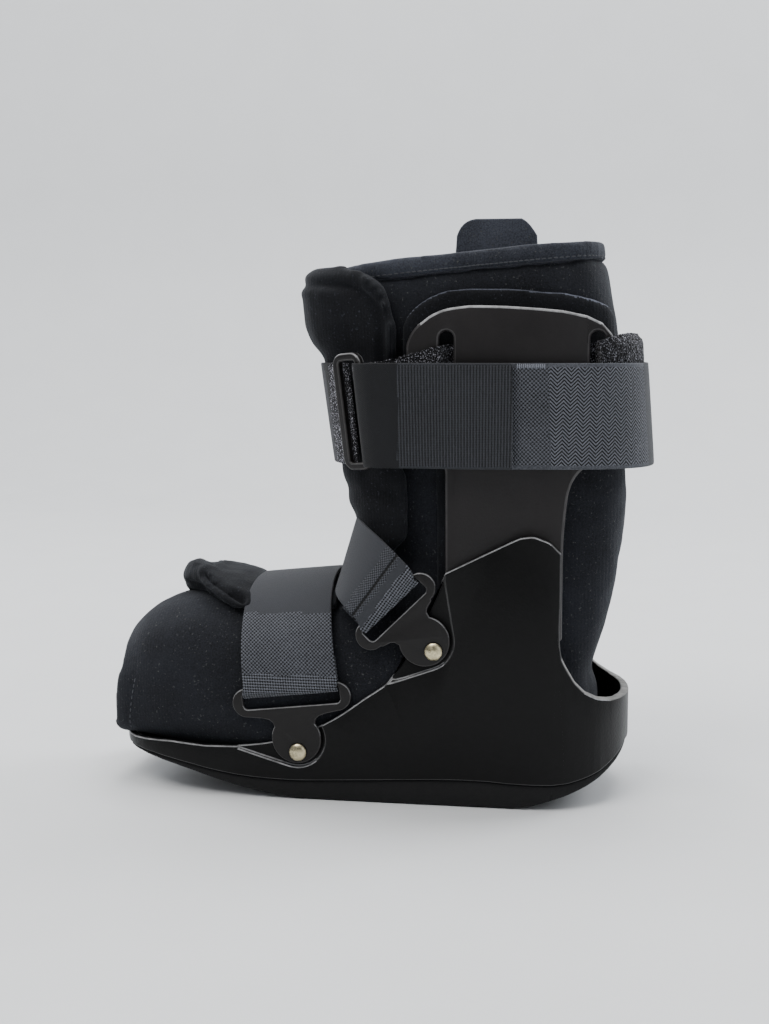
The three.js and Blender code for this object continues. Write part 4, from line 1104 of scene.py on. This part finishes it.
class BOOT_OT_foot_straps(bpy.types.Operator):
    """Forefoot and ankle straps with their stitched ends"""
    bl_idname = "boot.foot_straps"
    bl_label = "Foot straps"

    def execute(self, context):
        s = sizes()
        arch = ((0, 0, 1), (0, 1, 0))
        forefoot = webbing_copy("forefoot_strap", "forefoot_webbing", s.webbing_edge)
        run = lay_out(forefoot, Vector((-0.041, 0.0, 0.055)), arch, (1, 0, 0.1), True)
        zones(forefoot, run, (0.018, 0.050))
        dress(forefoot, ["forefoot_strap"], "webbing", "rows", "dots", "plain")

        ankle = webbing_copy("ankle_strap", "ankle_webbing", s.webbing_edge)
        run = lay_out(ankle, Vector((0.0138, 0.0, 0.0976)), ((-0.81, 0, 0.59), (0, 1, 0)),
                      (0.59, 0, 0.81), True)
        zones(ankle, run, (0.0105, 0.0150, 0.0240))
        dress(ankle, ["ankle_strap"], "webbing", "rows", "plain", "seam", "plain")
        return {"FINISHED"}


class BOOT_OT_plates(bpy.types.Operator):
    """Strap plates and their domed rivets"""
    bl_idname = "boot.plates"
    bl_label = "Plates and rivets"

    def execute(self, context):
        for kind in PLATES:
            for side in SIDES:
                node = f"{kind}_plate_{side}"
                plate = self.plate(kind, side)
                # Only the plate's rounded edges that look up keep the bright painted highlight
                light_above(plate, 0.12)
                dress(plate, [node], "plate", "plate", "plate_edge", "plate_side")
                self.rivet(kind, side)
        return {"FINISHED"}

    def plate(self, kind, side):
        """A cross-bar with a long slot, on a round boss for the rivet."""
        facts = PLATES[kind]
        bar, boss, boss_reach, thickness, hole = 0.0074, 0.0125, 0.0201, 0.0022, 0.0023
        face_y = 0.0484
        slot = facts["slot"] / 2
        half = slot + 0.0055
        neck = arc((0.0, -boss_reach), boss, 146, 394, 40)
        fillet = [(-half + bar, -bar), (-0.0165, -0.0083), (-0.0128, -0.0093), (-0.0111, -0.0108)]
        left_end = arc((-half + bar, 0.0), bar, 90, 270, 16)[:-1]
        right_end = arc((half - bar, 0.0), bar, 270, 450, 16)[1:]
        mirrored = [(-x, y) for x, y in reversed(fillet)]
        outline = left_end + fillet + neck + mirrored + right_end
        opening = rounded_box(-slot, slot, -0.0034, 0.0050, 0.0022)
        rivet_hole = arc((0.0, -0.02675), hole, 0, 348, 29)
        plate = cut_sheet(f"{kind}_strap_plate_{side}", (outline, opening, rivet_hole), thickness,
                          sizes().plate_edge)
        turn = Matrix.Rotation(math.radians(90), 4, "X")
        turn = turn @ Matrix.Rotation(math.radians(facts["turn"]), 4, "Z")
        x, z = facts["middle"]
        plate.data.transform(Matrix.Translation((x, -face_y, z)) @ turn)
        if side == "far":
            plate.data.transform(Matrix.Scale(-1.0, 4, (0, 1, 0)))
            plate.data.flip_normals()
        lean_out(plate)
        return plate

    def rivet(self, kind, side):
        """A domed head on its shank, turned about the rivet's axis."""
        node = f"{kind}_rivet_{side}"
        low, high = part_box(node)
        centre = (low + high) / 2
        head = (high.x - low.x) / 2
        depth = high.y - low.y
        out, face_y = (-1.0, low.y) if side == "near" else (1.0, high.y)
        dome = 0.0022
        profile = [(0.0, 0.0), (0.25, 0.03), (0.55, 0.16), (0.80, 0.36), (0.95, 0.58), (1.0, 0.76),
                   (0.99, 0.9), (0.93, 0.99)]
        bm = bmesh.new()
        ring = [bm.verts.new((r * head, 0.0, -d * dome)) for r, d in profile]
        shank = 0.5 * head
        ring += [bm.verts.new((shank, 0.0, -dome)), bm.verts.new((shank, 0.0, -depth)),
                 bm.verts.new((0.0, 0.0, -depth))]
        edges = [bm.edges.new(pair) for pair in zip(ring, ring[1:])]
        bmesh.ops.spin(bm, geom=ring + edges, axis=(0, 0, 1), cent=(0, 0, 0), angle=2 * math.pi,
                       steps=28, use_merge=True)
        bmesh.ops.remove_doubles(bm, verts=bm.verts, dist=WELD / 2)
        bmesh.ops.recalc_face_normals(bm, faces=bm.faces)
        turn = Matrix.Rotation(out * -math.pi / 2, 4, "X")
        bmesh.ops.transform(bm, matrix=Matrix.Translation((centre.x, face_y, centre.z)) @ turn,
                            verts=bm.verts)
        rivet = object_from(f"{kind}_rivet_head_{side}", bm)
        shade_smooth(rivet, math.radians(45))
        dress(rivet, [node], "rivet", "rivet")


PIECES = (BOOT_OT_stage, BOOT_OT_shell, BOOT_OT_uprights, BOOT_OT_liner, BOOT_OT_shin_pad,
          BOOT_OT_toe_flap, BOOT_OT_calf_band, BOOT_OT_foot_straps, BOOT_OT_plates)


class BOOT_PT_panel(bpy.types.Panel):
    """The boot's sizes, colours and pieces"""
    bl_idname = "BOOT_PT_panel"
    bl_label = "Walking boot"
    bl_space_type = "VIEW_3D"
    bl_region_type = "UI"
    bl_category = "Boot"

    def draw(self, context):
        scene = context.scene
        for group in (scene.boot_sizes, scene.boot_colours, scene.boot_view):
            box = self.layout.box()
            for name in group.__annotations__:
                box.prop(group, name)
        for piece in PIECES:
            self.layout.operator(piece.bl_idname)


CLASSES = (BootSizes, BootColours, BootView, *PIECES, BOOT_PT_panel)


def register():
    for cls in CLASSES:
        bpy.utils.register_class(cls)
    bpy.types.Scene.boot_sizes = bpy.props.PointerProperty(type=BootSizes)
    bpy.types.Scene.boot_colours = bpy.props.PointerProperty(type=BootColours)
    bpy.types.Scene.boot_view = bpy.props.PointerProperty(type=BootView)


def unregister():
    del bpy.types.Scene.boot_view
    del bpy.types.Scene.boot_colours
    del bpy.types.Scene.boot_sizes
    for cls in reversed(CLASSES):
        bpy.utils.unregister_class(cls)


def main():
    register()
    bpy.ops.boot.stage()
    bpy.ops.boot.shell()
    bpy.ops.boot.uprights()
    bpy.ops.boot.liner()
    bpy.ops.boot.shin_pad()
    bpy.ops.boot.toe_flap()
    bpy.ops.boot.calf_band()
    bpy.ops.boot.foot_straps()
    bpy.ops.boot.plates()


if __name__ == "__main__":
    main()
